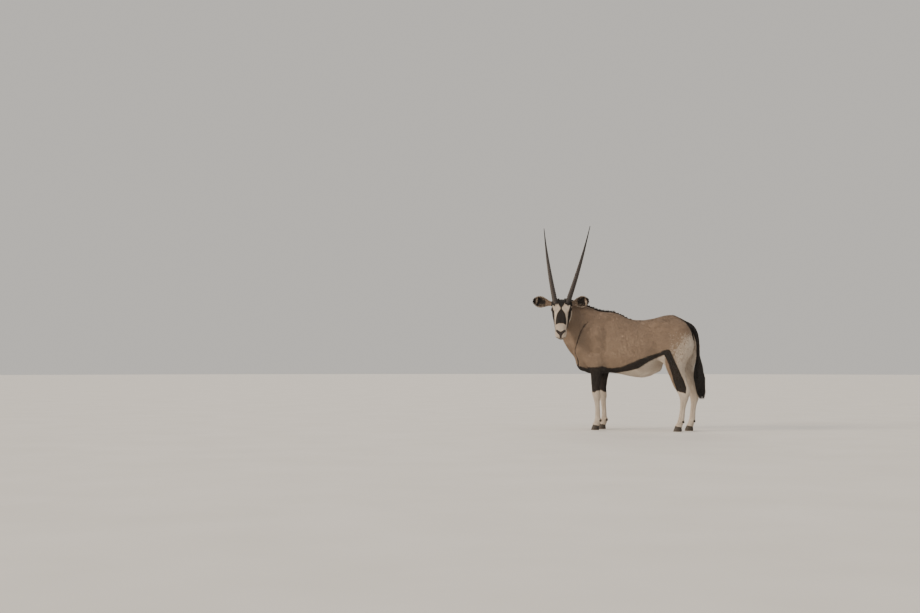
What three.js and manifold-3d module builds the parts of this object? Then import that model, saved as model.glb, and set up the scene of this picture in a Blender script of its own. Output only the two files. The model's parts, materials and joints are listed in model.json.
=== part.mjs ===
// A gemsbok standing square, side on, with its head turned to face the viewer.
// Life size. Millimetres on output; the tables below are in metres.
// X runs from the muzzle end (-) to the tail (+), Z is up, and the animal's own left is -Y.
import * as THREE from "three";
import { mergeVertices } from "three/addons/utils/BufferGeometryUtils.js";
import Module from "manifold-3d";

const wasm = await Module();
wasm.setup();

// ---------------------------------------------------------------- driving dimensions
const MM = 1000;
const GAP = 0.0003;                 // clearance between neighbouring pieces
const SHIFT_X = 0.19848;          // moves the middle of the overall box to x = 0
const SHIFT_Y = 0.089074;          // and to y = 0

const LEG_TOP_HIND = 0.70;          // where the hind limb parts from the trunk
const LEG_TOP_FORE = 0.60;
const HOCK_CUT = 0.345;
const KNEE_CUT = 0.345;
const HIND_FRONT = 0.232;           // front of the hind limb block
const CORONET = 0.052;              // height of the hoof's upper edge at its middle
const CORONET_SLOPE = 0.22;         // it is higher in front
const UDDER_FRONT = 0.085, UDDER_TOP = 0.600, UDDER_HALF = 0.13;
const NECK_CUT = 0.165;             // along the neck's own axis

const HEAD_YAW = 15, HEAD_TILT = 28;               // degrees: turned from -Y, and face line from upright
const POLL = [-0.745, -0.24, 1.316];
const EYE_RADIUS = 0.0195;
const EYE_AT = { s: 0.103, l: 0.0815, u: -0.036 };
const HORN = { s: 0.034, l: 0.061, u: -0.020, radius: 0.0268, tip: 0.0032, ringPitch: 0.024, rings: 17, ringHeight: 0.0011, lean: 0.42, riseLeft: 0.816, riseRight: 0.797, splayLeft: 0.2126, splayRight: 0.1445, bow: 0.012 };
const EAR = { s: 0.030, l: 0.086, u: -0.048, lengthLeft: 0.190, lengthRight: 0.205, tilt: 9, forward: 0.12, thickness: 0.0078, cup: 0.62 };

// Trunk sections along X: x, top, bottom, height of the widest line, half width, roundness above and below.
const TRUNK = [
  [-0.655, 0.9, 0.7, 0.8, 0.06, 2, 2],
  [-0.635, 0.95, 0.65, 0.79, 0.092, 2, 2],
  [-0.6, 1.02, 0.605, 0.79, 0.12, 2, 1.9],
  [-0.54, 1.1, 0.566, 0.79, 0.141, 1.9, 1.8],
  [-0.46, 1.155, 0.556, 0.79, 0.158, 1.8, 1.8],
  [-0.38, 1.192, 0.564, 0.79, 0.174, 1.7, 1.9],
  [-0.3, 1.197, 0.57, 0.785, 0.192, 1.65, 2],
  [-0.22, 1.172, 0.56, 0.78, 0.212, 1.7, 2.05],
  [-0.12, 1.12, 0.54, 0.77, 0.232, 1.8, 2.1],
  [-0.05, 1.104, 0.528, 0.765, 0.24, 1.85, 2.1],
  [0.02, 1.101, 0.522, 0.765, 0.242, 1.85, 2.1],
  [0.09, 1.108, 0.534, 0.775, 0.235, 1.9, 2.1],
  [0.16, 1.121, 0.59, 0.795, 0.219, 1.9, 2.1],
  [0.21, 1.134, 0.655, 0.82, 0.205, 1.9, 2.1],
  [0.26, 1.145, 0.69, 0.84, 0.192, 1.85, 2],
  [0.33, 1.149, 0.715, 0.86, 0.175, 1.8, 2],
  [0.4, 1.122, 0.735, 0.88, 0.158, 1.8, 2],
  [0.47, 1.08, 0.77, 0.9, 0.128, 1.8, 2],
  [0.53, 1.025, 0.82, 0.91, 0.08, 2, 2],
];
// Hind limb sections along Z: z, front, rear, distance from the middle, half width.
const HIND = [
  [1.1, 0.33, 0.43, 0.085, 0.035],
  [1.06, 0.25, 0.49, 0.095, 0.062],
  [1, 0.2, 0.53, 0.103, 0.086],
  [0.92, 0.185, 0.555, 0.108, 0.097],
  [0.85, 0.18, 0.568, 0.113, 0.102],
  [0.78, 0.193, 0.56, 0.117, 0.099],
  [0.72, 0.228, 0.53, 0.12, 0.092],
  [0.66, 0.272, 0.493, 0.122, 0.081],
  [0.6, 0.3, 0.479, 0.12, 0.068],
  [0.54, 0.325, 0.492, 0.115, 0.056],
  [0.48, 0.347, 0.508, 0.11, 0.045],
  [0.44, 0.364, 0.52, 0.106, 0.039],
  [0.4, 0.388, 0.528, 0.103, 0.037],
  [0.36, 0.409, 0.522, 0.101, 0.037],
  [0.32, 0.422, 0.508, 0.1, 0.034],
  [0.28, 0.4255, 0.494, 0.1, 0.028],
  [0.24, 0.424, 0.482, 0.1, 0.0245],
  [0.2, 0.42, 0.475, 0.1, 0.0235],
  [0.15, 0.411, 0.47, 0.1, 0.0235],
  [0.115, 0.403, 0.466, 0.1, 0.0265],
  [0.088, 0.394, 0.46, 0.1, 0.03],
  [0.065, 0.38, 0.449, 0.1, 0.029],
  [0.045, 0.366, 0.443, 0.1, 0.031],
  [0.03, 0.36, 0.441, 0.1, 0.031],
];
// The right hind foot stands a little further back: z, shift.
const HIND_RIGHT_BACK = [[0, 0.068], [0.2, 0.058], [0.4, 0.056], [0.62, 0.035], [0.8, 0.012], [1, 0]];
// Fore limb sections along Z, in the same order.
const FORE = [
  [0.78, -0.49, -0.335, 0.135, 0.05],
  [0.72, -0.5, -0.335, 0.135, 0.057],
  [0.66, -0.49, -0.338, 0.132, 0.056],
  [0.62, -0.482, -0.344, 0.128, 0.052],
  [0.58, -0.48, -0.357, 0.125, 0.047],
  [0.54, -0.477, -0.367, 0.122, 0.043],
  [0.5, -0.475, -0.375, 0.119, 0.04],
  [0.46, -0.474, -0.38, 0.116, 0.038],
  [0.42, -0.471, -0.385, 0.113, 0.0355],
  [0.385, -0.469, -0.384, 0.111, 0.0375],
  [0.36, -0.467, -0.382, 0.11, 0.039],
  [0.33, -0.458, -0.381, 0.109, 0.0375],
  [0.3, -0.45, -0.388, 0.108, 0.033],
  [0.27, -0.443, -0.389, 0.107, 0.028],
  [0.22, -0.438, -0.389, 0.106, 0.024],
  [0.17, -0.437, -0.387, 0.105, 0.0232],
  [0.125, -0.44, -0.385, 0.104, 0.0255],
  [0.095, -0.447, -0.378, 0.104, 0.03],
  [0.07, -0.458, -0.386, 0.104, 0.0285],
  [0.05, -0.47, -0.396, 0.104, 0.031],
  [0.034, -0.476, -0.4, 0.104, 0.031],
];
const FORE_RIGHT_BACK = [[0, 0.010], [0.1, 0.006], [0.3, 0]];
// Neck sections along its axis: s, sideways shift, throat, crest, half width.
const NECK_FROM = [-0.40, 0, 0.86], NECK_AXIS = [-0.6316, -0.2576, 0.7313], NECK_CREST = [0.72, 0.10, 0.66];
const NECK = [
  [-0.06, 0, -0.255, 0.29, 0.14],
  [0.03, 0.002, -0.285, 0.29, 0.15],
  [0.12, 0, -0.293, 0.268, 0.14],
  [0.22, -0.004, -0.282, 0.236, 0.125],
  [0.32, -0.006, -0.252, 0.2, 0.1],
  [0.42, -0.004, -0.205, 0.15, 0.083],
  [0.5, 0, -0.152, 0.105, 0.075],
  [0.57, 0.004, -0.112, 0.07, 0.07],
];
// Head sections from the poll down the face: s, brow line, jaw line, height of the widest line, half width, roundness.
const HEAD = [
  [-0.03, -0.055, -0.13, -0.09, 0.054, 2, 2],
  [-0.01, -0.026, -0.155, -0.085, 0.073, 2, 2],
  [0.02, -0.006, -0.168, -0.075, 0.084, 2.2, 2],
  [0.06, 0.003, -0.176, -0.07, 0.089, 2.4, 2],
  [0.1, 0.004, -0.18, -0.068, 0.091, 2.6, 2],
  [0.14, 0, -0.178, -0.068, 0.088, 2.6, 2],
  [0.18, -0.002, -0.168, -0.066, 0.083, 2.5, 2],
  [0.22, -0.001, -0.153, -0.064, 0.077, 2.4, 2],
  [0.26, 0, -0.138, -0.062, 0.07, 2.3, 2.1],
  [0.3, -0.001, -0.126, -0.06, 0.064, 2.3, 2.2],
  [0.34, -0.004, -0.117, -0.06, 0.059, 2.3, 2.3],
  [0.37, -0.011, -0.112, -0.061, 0.057, 2.3, 2.3],
  [0.395, -0.023, -0.108, -0.063, 0.052, 2.2, 2.2],
  [0.412, -0.036, -0.1, -0.066, 0.04, 2.1, 2.1],
  [0.42, -0.046, -0.09, -0.068, 0.025, 2, 2],
];
// Ear half width along its length, both as fractions of the length.
const EAR_OUTLINE = [[0, .105], [.12, .110], [.28, .165], [.45, .245], [.62, .295], [.76, .275], [.88, .190], [.96, .115], [1, .045]];
// Tail core: centre x, z, half size in x, in y.
const TAIL = [
  [0.43, 1.03, 0.045, 0.05],
  [0.49, 1.035, 0.036, 0.04],
  [0.535, 1.005, 0.029, 0.033],
  [0.565, 0.95, 0.024, 0.027],
  [0.58, 0.88, 0.02, 0.022],
  [0.583, 0.8, 0.018, 0.019],
  [0.583, 0.72, 0.016, 0.017],
  [0.582, 0.64, 0.014, 0.014],
];
// Hair of the tail's end: z, centre x, half width in x, in y.
const TUFT = [[.73, .585, .020, .020], [.70, .588, .027, .025], [.65, .588, .043, .034], [.58, .588, .054, .042], [.52, .596, .063, .045], [.46, .602, .056, .041], [.40, .614, .042, .032], [.35, .624, .024, .020], [.31, .630, .007, .007]];

// ---------------------------------------------------------------- vectors and curves
const add = (a, b, k = 1) => [a[0] + b[0] * k, a[1] + b[1] * k, a[2] + b[2] * k];
const sub = (a, b) => [a[0] - b[0], a[1] - b[1], a[2] - b[2]];
const dot = (a, b) => a[0] * b[0] + a[1] * b[1] + a[2] * b[2];
const cross = (a, b) => [a[1] * b[2] - a[2] * b[1], a[2] * b[0] - a[0] * b[2], a[0] * b[1] - a[1] * b[0]];
const mul = (a, k) => [a[0] * k, a[1] * k, a[2] * k];
const len = (a) => Math.hypot(a[0], a[1], a[2]);
const unit = (a) => mul(a, 1 / len(a));
const rad = (d) => d * Math.PI / 180;

// Monotone cubic through the knots, tabulated.
const LUT = 400;
function curve(xs, ys) {
  const n = xs.length, h = [], d = [], m = new Array(n).fill(0);
  for (let i = 0; i < n - 1; i++) { h.push(xs[i + 1] - xs[i]); d.push((ys[i + 1] - ys[i]) / h[i]); }
  m[0] = d[0]; m[n - 1] = d[n - 2];
  for (let i = 1; i < n - 1; i++) if (d[i - 1] * d[i] > 0) {
    const w1 = 2 * h[i] + h[i - 1], w2 = h[i] + 2 * h[i - 1];
    m[i] = (w1 + w2) / (w1 / d[i - 1] + w2 / d[i]);
  }
  const out = new Float64Array(LUT + 1);
  for (let j = 0, i = 0; j <= LUT; j++) {
    const x = xs[0] + (xs[n - 1] - xs[0]) * j / LUT;
    while (i < n - 2 && x > xs[i + 1]) i++;
    const u = (x - xs[i]) / h[i];
    out[j] = (2 * u ** 3 - 3 * u * u + 1) * ys[i] + (u ** 3 - 2 * u * u + u) * h[i] * m[i] + (3 * u * u - 2 * u ** 3) * ys[i + 1] + (u ** 3 - u * u) * h[i] * m[i + 1];
  }
  return out;
}
function at(lut, t) {
  const x = t * LUT, i = Math.min(LUT - 1, Math.floor(x));
  return lut[i] + (lut[i + 1] - lut[i]) * (x - i);
}
function lerpTable(t, x) {
  if (x <= t[0][0]) return t[0][1];
  for (let i = 1; i < t.length; i++) if (x <= t[i][0]) return t[i - 1][1] + (t[i][1] - t[i - 1][1]) * (x - t[i - 1][0]) / (t[i][0] - t[i - 1][0]);
  return t[t.length - 1][1];
}
const smin = (a, b, k) => { const h = Math.max(k - Math.abs(a - b), 0) / k; return Math.min(a, b) - h * h * k * 0.25; };
const smax = (a, b, k) => -smin(-a, -b, k);

// ---------------------------------------------------------------- forms, each a signed distance
// Sections across axis S: side shift, centre height, half width, half height up and down, roundness up and down.
function slab(o, S, A, B, rows, caps, k) {
  rows = rows.slice().sort((p, q) => p[0] - q[0]);
  const xs = rows.map((r) => r[0]), c = [];
  for (let j = 1; j < 8; j++) c.push(curve(xs, rows.map((r) => r[j])));
  const t0 = xs[0], t1 = xs[xs.length - 1];
  const lo = [9, 9, 9], hi = [-9, -9, -9];
  for (let i = 0; i <= LUT; i += 8) {
    const s = t0 + (t1 - t0) * i / LUT;
    for (const a of [-c[2][i], c[2][i]]) for (const b of [-c[4][i], c[3][i]]) {
      const p = add(add(add(o, S, s), A, c[0][i] + a), B, c[1][i] + b);
      for (let j = 0; j < 3; j++) { lo[j] = Math.min(lo[j], p[j]); hi[j] = Math.max(hi[j], p[j]); }
    }
  }
  const f = (p) => {
    const q = sub(p, o), s = dot(q, S), sc = Math.min(Math.max(s, t0), t1), t = (sc - t0) / (t1 - t0);
    let k2 = 1;
    if (caps[0] && sc < t0 + caps[0]) k2 = Math.sqrt(Math.max(1 - ((t0 + caps[0] - sc) / caps[0]) ** 2, 0));
    if (caps[1] && sc > t1 - caps[1]) k2 = Math.min(k2, Math.sqrt(Math.max(1 - ((sc - t1 + caps[1]) / caps[1]) ** 2, 0)));
    k2 = Math.max(k2, 0.04);
    const a = dot(q, A) - at(c[0], t), b = dot(q, B) - at(c[1], t);
    const w = at(c[2], t) * k2, up = b > 0, h = at(up ? c[3] : c[4], t) * k2, n = at(up ? c[5] : c[6], t);
    const rr = Math.pow(Math.pow(Math.abs(a) / w + 1e-9, n) + Math.pow(Math.abs(b) / h + 1e-9, n), 1 / n);
    const m = Math.hypot(a, b), r = rr > 0.05 ? m * (1 - 1 / rr) : -Math.min(w, h), ax = s - sc;
    return ax !== 0 ? Math.hypot(Math.max(r, 0), ax) : r;
  };
  return { f, lo, hi, k };
}
function roundCone(a, ra, b, rb, k, n = null, squeeze = 1) {
  const R = Math.max(ra, rb), e = sub(b, a), ee = dot(e, e);
  const en = n ? add(e, n, -dot(e, n)) : null, een = en ? Math.max(dot(en, en), 1e-9) : 1, edn = n ? dot(e, n) : 0;
  const f = (p) => {
    let q = sub(p, a);
    if (n) q = add(q, n, (1 / squeeze - 1) * (dot(q, n) - edn * Math.min(Math.max(dot(q, en) / een, 0), 1)));
    const t = Math.min(Math.max(dot(q, e) / ee, 0), 1);
    return (len(add(q, e, -t)) - (ra + (rb - ra) * t)) * (squeeze + 1) / 2;
  };
  return { f, k, lo: a.map((v, i) => Math.min(v, b[i]) - R), hi: a.map((v, i) => Math.max(v, b[i]) + R) };
}
function ellipsoid(c, r, k, axes = [[1, 0, 0], [0, 1, 0], [0, 0, 1]]) {
  const m = [0, 1, 2].map((j) => Math.abs(axes[0][j]) * r[0] + Math.abs(axes[1][j]) * r[1] + Math.abs(axes[2][j]) * r[2]);
  const f = (p) => {
    const q = sub(p, c), x = dot(q, axes[0]), y = dot(q, axes[1]), z = dot(q, axes[2]);
    const k0 = Math.hypot(x / r[0], y / r[1], z / r[2]), k1 = Math.hypot(x / r[0] ** 2, y / r[1] ** 2, z / r[2] ** 2) + 1e-9;
    return k0 * (k0 - 1) / k1;
  };
  return { f, k, lo: c.map((v, i) => v - m[i]), hi: c.map((v, i) => v + m[i]) };
}
function blend(parts, far = 0.25) {
  const pad = 0.08;
  return (p) => {
    let d = far;
    for (const q of parts) {
      if (p[0] < q.lo[0] - pad || p[0] > q.hi[0] + pad || p[1] < q.lo[1] - pad || p[1] > q.hi[1] + pad || p[2] < q.lo[2] - pad || p[2] > q.hi[2] + pad) continue;
      d = smin(d, q.f(p), q.k);
    }
    return d;
  };
}

// ---------------------------------------------------------------- the animal's own frames
const X = [1, 0, 0], Y = [0, 1, 0], Z = [0, 0, 1];
const HB = [Math.sin(rad(HEAD_YAW)), -Math.cos(rad(HEAD_YAW)), 0];                 // the way it looks
const HF = add(mul(HB, Math.sin(rad(HEAD_TILT))), Z, -Math.cos(rad(HEAD_TILT)));   // down the face
const HU = add(mul(HB, Math.cos(rad(HEAD_TILT))), Z, Math.sin(rad(HEAD_TILT)));    // out of the face
const HL = [Math.cos(rad(HEAD_YAW)), Math.sin(rad(HEAD_YAW)), 0];                  // its left
const hp = (s, l, u) => add(add(add(POLL, HF, s), HL, l), HU, u);
const headAxes = [HF, HL, HU];
const HEAD_CUT = add(mul(HF, 0.542), HU, 0.840), HEAD_DEPTH = 0.19, HEAD_SIDE = 0.108;
const NS = unit(NECK_AXIS), NB = unit(add(NECK_CREST, NS, -dot(NECK_CREST, NS))), NA = cross(NB, NS);

function limb(rows, side, back, k) {
  return slab([0, 0, 0], Z, Y, X, rows.map(([z, f, r, y, w]) => {
    const xc = f + (r - f) * 0.45 + (back ? lerpTable(back, z) : 0);
    return [z, side * y, xc, w, r - (f + (r - f) * 0.45), (r - f) * 0.45, 2.2, 2.2];
  }), [0, 0.05], k);
}
const bodyParts = [
  slab([0, 0, 0], X, Y, Z, TRUNK.map(([x, t, b, c, w, nu, nd]) => [x, 0, c, w, t - c, c - b, nu, nd]), [0.03, 0.03], 0.06),
  slab(NECK_FROM, NS, NA, NB, NECK.map(([s, ca, b, h, w]) => [s, ca, (b + h) / 2 - 0.02, w, (h - b) / 2 + 0.02, (h - b) / 2 - 0.02, 1.9, 2.0]), [0.06, 0.05], 0.08),
];
for (const sd of [-1, 1]) bodyParts.push(
  roundCone([-0.345, sd * 0.075, 1.115], 0.050, [-0.575, sd * 0.135, 0.81], 0.075, 0.05, Y, 0.75),   // shoulder blade
  roundCone([-0.575, sd * 0.140, 0.80], 0.070, [-0.43, sd * 0.132, 0.66], 0.062, 0.04, Y, 0.9),      // upper arm
  roundCone([-0.40, sd * 0.128, 0.93], 0.090, [-0.375, sd * 0.130, 0.70], 0.058, 0.05, Y, 0.8),      // triceps
  ellipsoid([-0.585, sd * 0.060, 0.70], [0.068, 0.062, 0.110], 0.05),                                // breast
  ellipsoid([0.230, sd * 0.128, 1.046], [0.050, 0.030, 0.038], 0.09),                                // point of the hip
  roundCone([0.10, sd * 0.165, 0.82], 0.05, [0.26, sd * 0.152, 0.74], 0.045, 0.06, Y, 0.6),          // flank fold
  limb(FORE, sd, sd > 0 ? FORE_RIGHT_BACK : null, 0.045),
  limb(HIND, sd, sd > 0 ? HIND_RIGHT_BACK : null, 0.05),
);
for (const sd of [-1, 1]) for (const [rows, back] of [[FORE, FORE_RIGHT_BACK], [HIND, HIND_RIGHT_BACK]]) {         // dew claws
  const rear = lerpTable(rows.map((r) => [r[0], r[2]]).reverse(), 0.098) + (sd > 0 ? lerpTable(back, 0.1) : 0);
  for (const o of [-1, 1]) bodyParts.push(roundCone([rear - 0.010, sd * 0.103 + o * 0.014, 0.106], 0.010, [rear - 0.002, sd * 0.103 + o * 0.016, 0.090], 0.0065, 0.008));
}
bodyParts.push(ellipsoid([0.140, 0, 0.640], [0.085, 0.085, 0.075], 0.045));
for (const [tx, tz] of [[0.108, 0.566], [0.190, 0.602]]) for (const sd of [-1, 1])
  bodyParts.push(roundCone([tx, sd * 0.030, tz + 0.02], 0.010, [tx + 0.002, sd * 0.032, tz - 0.014], 0.0062, 0.012));

const headParts = [slab(POLL, HF, HL, HU, HEAD.map(([s, t, b, c, w, nu, nd]) => [s, 0, c, w, t - c, c - b, nu, nd]), [0.02, 0.02], 0.03)];
for (const sd of [-1, 1]) headParts.push(
  ellipsoid(hp(0.100, sd * 0.074, -0.030), [0.036, 0.024, 0.026], 0.03, headAxes),
  ellipsoid(hp(0.034, sd * 0.056, -0.022), [0.040, 0.036, 0.026], 0.03, headAxes),
  ellipsoid(hp(0.120, sd * 0.056, -0.110), [0.070, 0.030, 0.060], 0.03, headAxes),
  ellipsoid(hp(0.015, sd * 0.082, -0.062), [0.026, 0.026, 0.026], 0.03, headAxes),
  ellipsoid(hp(0.388, sd * 0.026, -0.026), [0.022, 0.018, 0.016], 0.015, headAxes),
  ellipsoid(hp(0.385, sd * 0.026, -0.066), [0.030, 0.020, 0.020], 0.015, headAxes),
);
headParts.push(ellipsoid(hp(0.385, 0, -0.100), [0.030, 0.030, 0.016], 0.015, headAxes));

// An ear is a cupped leaf: c is how far out of the cup a point lies, b is across, a is along.
function ear(sd) {
  const root = hp(EAR.s, sd * EAR.l, EAR.u), t = rad(EAR.tilt), L = sd > 0 ? EAR.lengthLeft : EAR.lengthRight;
  const A = unit(add(add(mul(HL, sd * Math.cos(t)), Z, Math.sin(t)), HB, EAR.forward));
  const C = unit(add(add(HB, Z, -0.15), A, -dot(add(HB, Z, -0.15), A))), B = cross(C, A);
  const w = curve(EAR_OUTLINE.map((q) => q[0]), EAR_OUTLINE.map((q) => q[1] * EAR.lengthLeft));
  const f = (p) => {
    const q = sub(p, root), a = dot(q, A), b = dot(q, B), c = dot(q, C);
    const u = Math.min(Math.max(a / L, 0), 1), W = at(w, u);
    const deep = EAR.cup * W;
    const x = Math.min(Math.abs(b) / W, 1.3), mid = deep * (x * x - 1) + 0.010 - 0.012 * u;
    const g = 1 / Math.sqrt(1 + (2 * deep * x / W) ** 2);
    const sheet = Math.abs(c - mid) * g - EAR.thickness / 2 * (1 + 4 * Math.max(0, 0.3 - u));
    const rim = Math.max((Math.abs(b) - W) * 0.75, -a, a - L), r = EAR.thickness * 0.47, x1 = sheet + r, x2 = rim + r;
    return Math.hypot(Math.max(x1, 0), Math.max(x2, 0)) - r + Math.min(Math.max(x1, x2), 0);
  };
  const tip = add(root, A, L), R = 0.075;
  // The same leaf as a closed skin: a back and a front sheet joined along the rim, from a distance along it to the tip.
  const skin = (from, grow) => {
    const rows = 9, cols = 9, pos = [], tri = [], n = 2 * (cols + 1);
    for (let i = 0; i <= rows; i++) {
      const a = from + (L + grow - from) * (1 - (1 - i / rows) ** 1.25), u = Math.min(a / L, 1), W = at(w, u) + grow, deep = EAR.cup * at(w, u);
      for (const face of [-1, 1]) for (let j = 0; j <= cols; j++) {
        const x = (face < 0 ? 1 : -1) * Math.sin((j / cols - 0.5) * Math.PI), b = W * x, m = deep * (x * x - 1) + 0.010 - 0.012 * u, sl = 2 * deep * x / W, g = Math.hypot(1, sl);
        const th = face * (EAR.thickness / 2 * (1 + 4 * Math.max(0, 0.3 - u)) * (1 - 0.62 * x * x) + grow);
        pos.push(...add(add(add(root, A, a), B, b - th * sl / g), C, m + th / g));
      }
    }
    for (let i = 0; i < rows; i++) for (let j = 0; j < n; j++) { const p = i * n + j, q = i * n + (j + 1) % n; tri.push(p, q, q + n, p, q + n, p + n); }
    for (let j = 0; j < cols; j++) {
      const a = j, b = j + 1, c = n - 2 - j, d = n - 1 - j, e = rows * n;
      tri.push(a, c, b, a, d, c, e + a, e + b, e + c, e + a, e + c, e + d);
    }
    let vol = 0; const V = (i) => [pos[3 * i], pos[3 * i + 1], pos[3 * i + 2]];
    for (let k = 0; k < tri.length; k += 3) vol += dot(V(tri[k]), cross(V(tri[k + 1]), V(tri[k + 2])));
    if (vol < 0) for (let k = 0; k < tri.length; k += 3) [tri[k + 1], tri[k + 2]] = [tri[k + 2], tri[k + 1]];
    return { pos, tri };
  };
  return { f, skin, k: 0.022, lo: root.map((v, i) => Math.min(v, tip[i]) - R), hi: root.map((v, i) => Math.max(v, tip[i]) + R), root, A };
}
const ears = { l: ear(1), r: ear(-1) }, earCut = 0.0235;     // an ear parts from the head this far from its root

const body = blend(bodyParts), headOnly = blend(headParts);
const whole = (p) => smin(body(p), headOnly(p), 0.03);
const headEar = blend([...headParts, ears.l, ears.r]);
const wholeEar = (p) => smin(body(p), headEar(p), 0.03);

// ---------------------------------------------------------------- meshing a signed distance
function meshField(fn, lo, hi, h, settle = 2) {
  const B = 6, nb = [0, 1, 2].map((i) => Math.ceil((hi[i] - lo[i]) / h / B)), n = nb.map((v) => v * B + 1);
  const F = new Float32Array(n[0] * n[1] * n[2]).fill(1), sx = n[1] * n[2], sy = n[2];
  const known = new Uint8Array(F.length), reach = B * h * 0.87 * 1.6;
  const P = (i, j, k) => [lo[0] + i * h, lo[1] + j * h, lo[2] + k * h];
  for (let a = 0; a < nb[0]; a++) for (let b = 0; b < nb[1]; b++) for (let c = 0; c < nb[2]; c++) {
    const v = fn(P((a + 0.5) * B, (b + 0.5) * B, (c + 0.5) * B)), near = Math.abs(v) < reach;
    for (let i = a * B; i <= a * B + B; i++) for (let j = b * B; j <= b * B + B; j++) for (let k = c * B; k <= c * B + B; k++) {
      const q = i * sx + j * sy + k;
      if (near) { if (!(known[q] & 1)) { F[q] = fn(P(i, j, k)); known[q] = 1; } }
      else if (!known[q]) { F[q] = v; }
    }
  }
  for (let i = 0; i < n[0]; i++) for (let j = 0; j < n[1]; j++) for (let k = 0; k < n[2]; k++)
    if (i === 0 || j === 0 || k === 0 || i === n[0] - 1 || j === n[1] - 1 || k === n[2] - 1) F[i * sx + j * sy + k] = Math.abs(F[i * sx + j * sy + k]) + 1e-4;
  const cell = new Int32Array(F.length).fill(-1), pos = [], tri = [];
  const edges = [[0, 1], [2, 3], [4, 5], [6, 7], [0, 2], [1, 3], [4, 6], [5, 7], [0, 4], [1, 5], [2, 6], [3, 7]];
  for (let i = 0; i < n[0] - 1; i++) for (let j = 0; j < n[1] - 1; j++) for (let k = 0; k < n[2] - 1; k++) {
    const q = i * sx + j * sy + k, v = [];
    let neg = 0;
    for (let c = 0; c < 8; c++) { const x = F[q + (c >> 2) * sx + ((c >> 1) & 1) * sy + (c & 1)]; v.push(x); if (x < 0) neg++; }
    if (neg === 0 || neg === 8) continue;
    let s = [0, 0, 0], m = 0;
    for (const [a, b] of edges) if ((v[a] < 0) !== (v[b] < 0)) {
      const t = v[a] / (v[a] - v[b]);
      s[0] += (a >> 2) * (1 - t) + (b >> 2) * t; s[1] += ((a >> 1) & 1) * (1 - t) + ((b >> 1) & 1) * t; s[2] += (a & 1) * (1 - t) + (b & 1) * t; m++;
    }
    let p = P(i + s[0] / m, j + s[1] / m, k + s[2] / m);
    for (let it = 0; it < settle; it++) {                  // settle on the true surface
      const d = fn(p), e = 0.001, g = [0, 1, 2].map((x) => { const o = [0, 0, 0]; o[x] = e; return (fn(add(p, o)) - fn(add(p, o, -1))) / (2 * e); });
      let st = mul(g, d / Math.max(dot(g, g), 0.3));
      const l = len(st); if (l > h * 0.4) st = mul(st, h * 0.4 / l);
      p = add(p, st, -1);
    }
    cell[q] = pos.length / 3; pos.push(...p);
  }
  const quad = (a, b, c, d, flip) => {
    const V = (x) => [pos[3 * x], pos[3 * x + 1], pos[3 * x + 2]];
    if (flip) [b, d] = [d, b];
    if (len(sub(V(a), V(c))) <= len(sub(V(b), V(d)))) tri.push(a, b, c, a, c, d); else tri.push(a, b, d, b, c, d);
  };
  for (let i = 0; i < n[0] - 1; i++) for (let j = 0; j < n[1] - 1; j++) for (let k = 0; k < n[2] - 1; k++) {
    const q = i * sx + j * sy + k, a = F[q] < 0;
    if (j && k && a !== F[q + sx] < 0) quad(cell[q - sy - 1], cell[q - 1], cell[q], cell[q - sy], !a);
    if (i && k && a !== F[q + sy] < 0) quad(cell[q - 1 - sx], cell[q - sx], cell[q], cell[q - 1], !a);
    if (i && j && a !== F[q + 1] < 0) quad(cell[q - sx - sy], cell[q - sy], cell[q], cell[q - sx], !a);
  }
  return { pos, tri };
}

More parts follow.
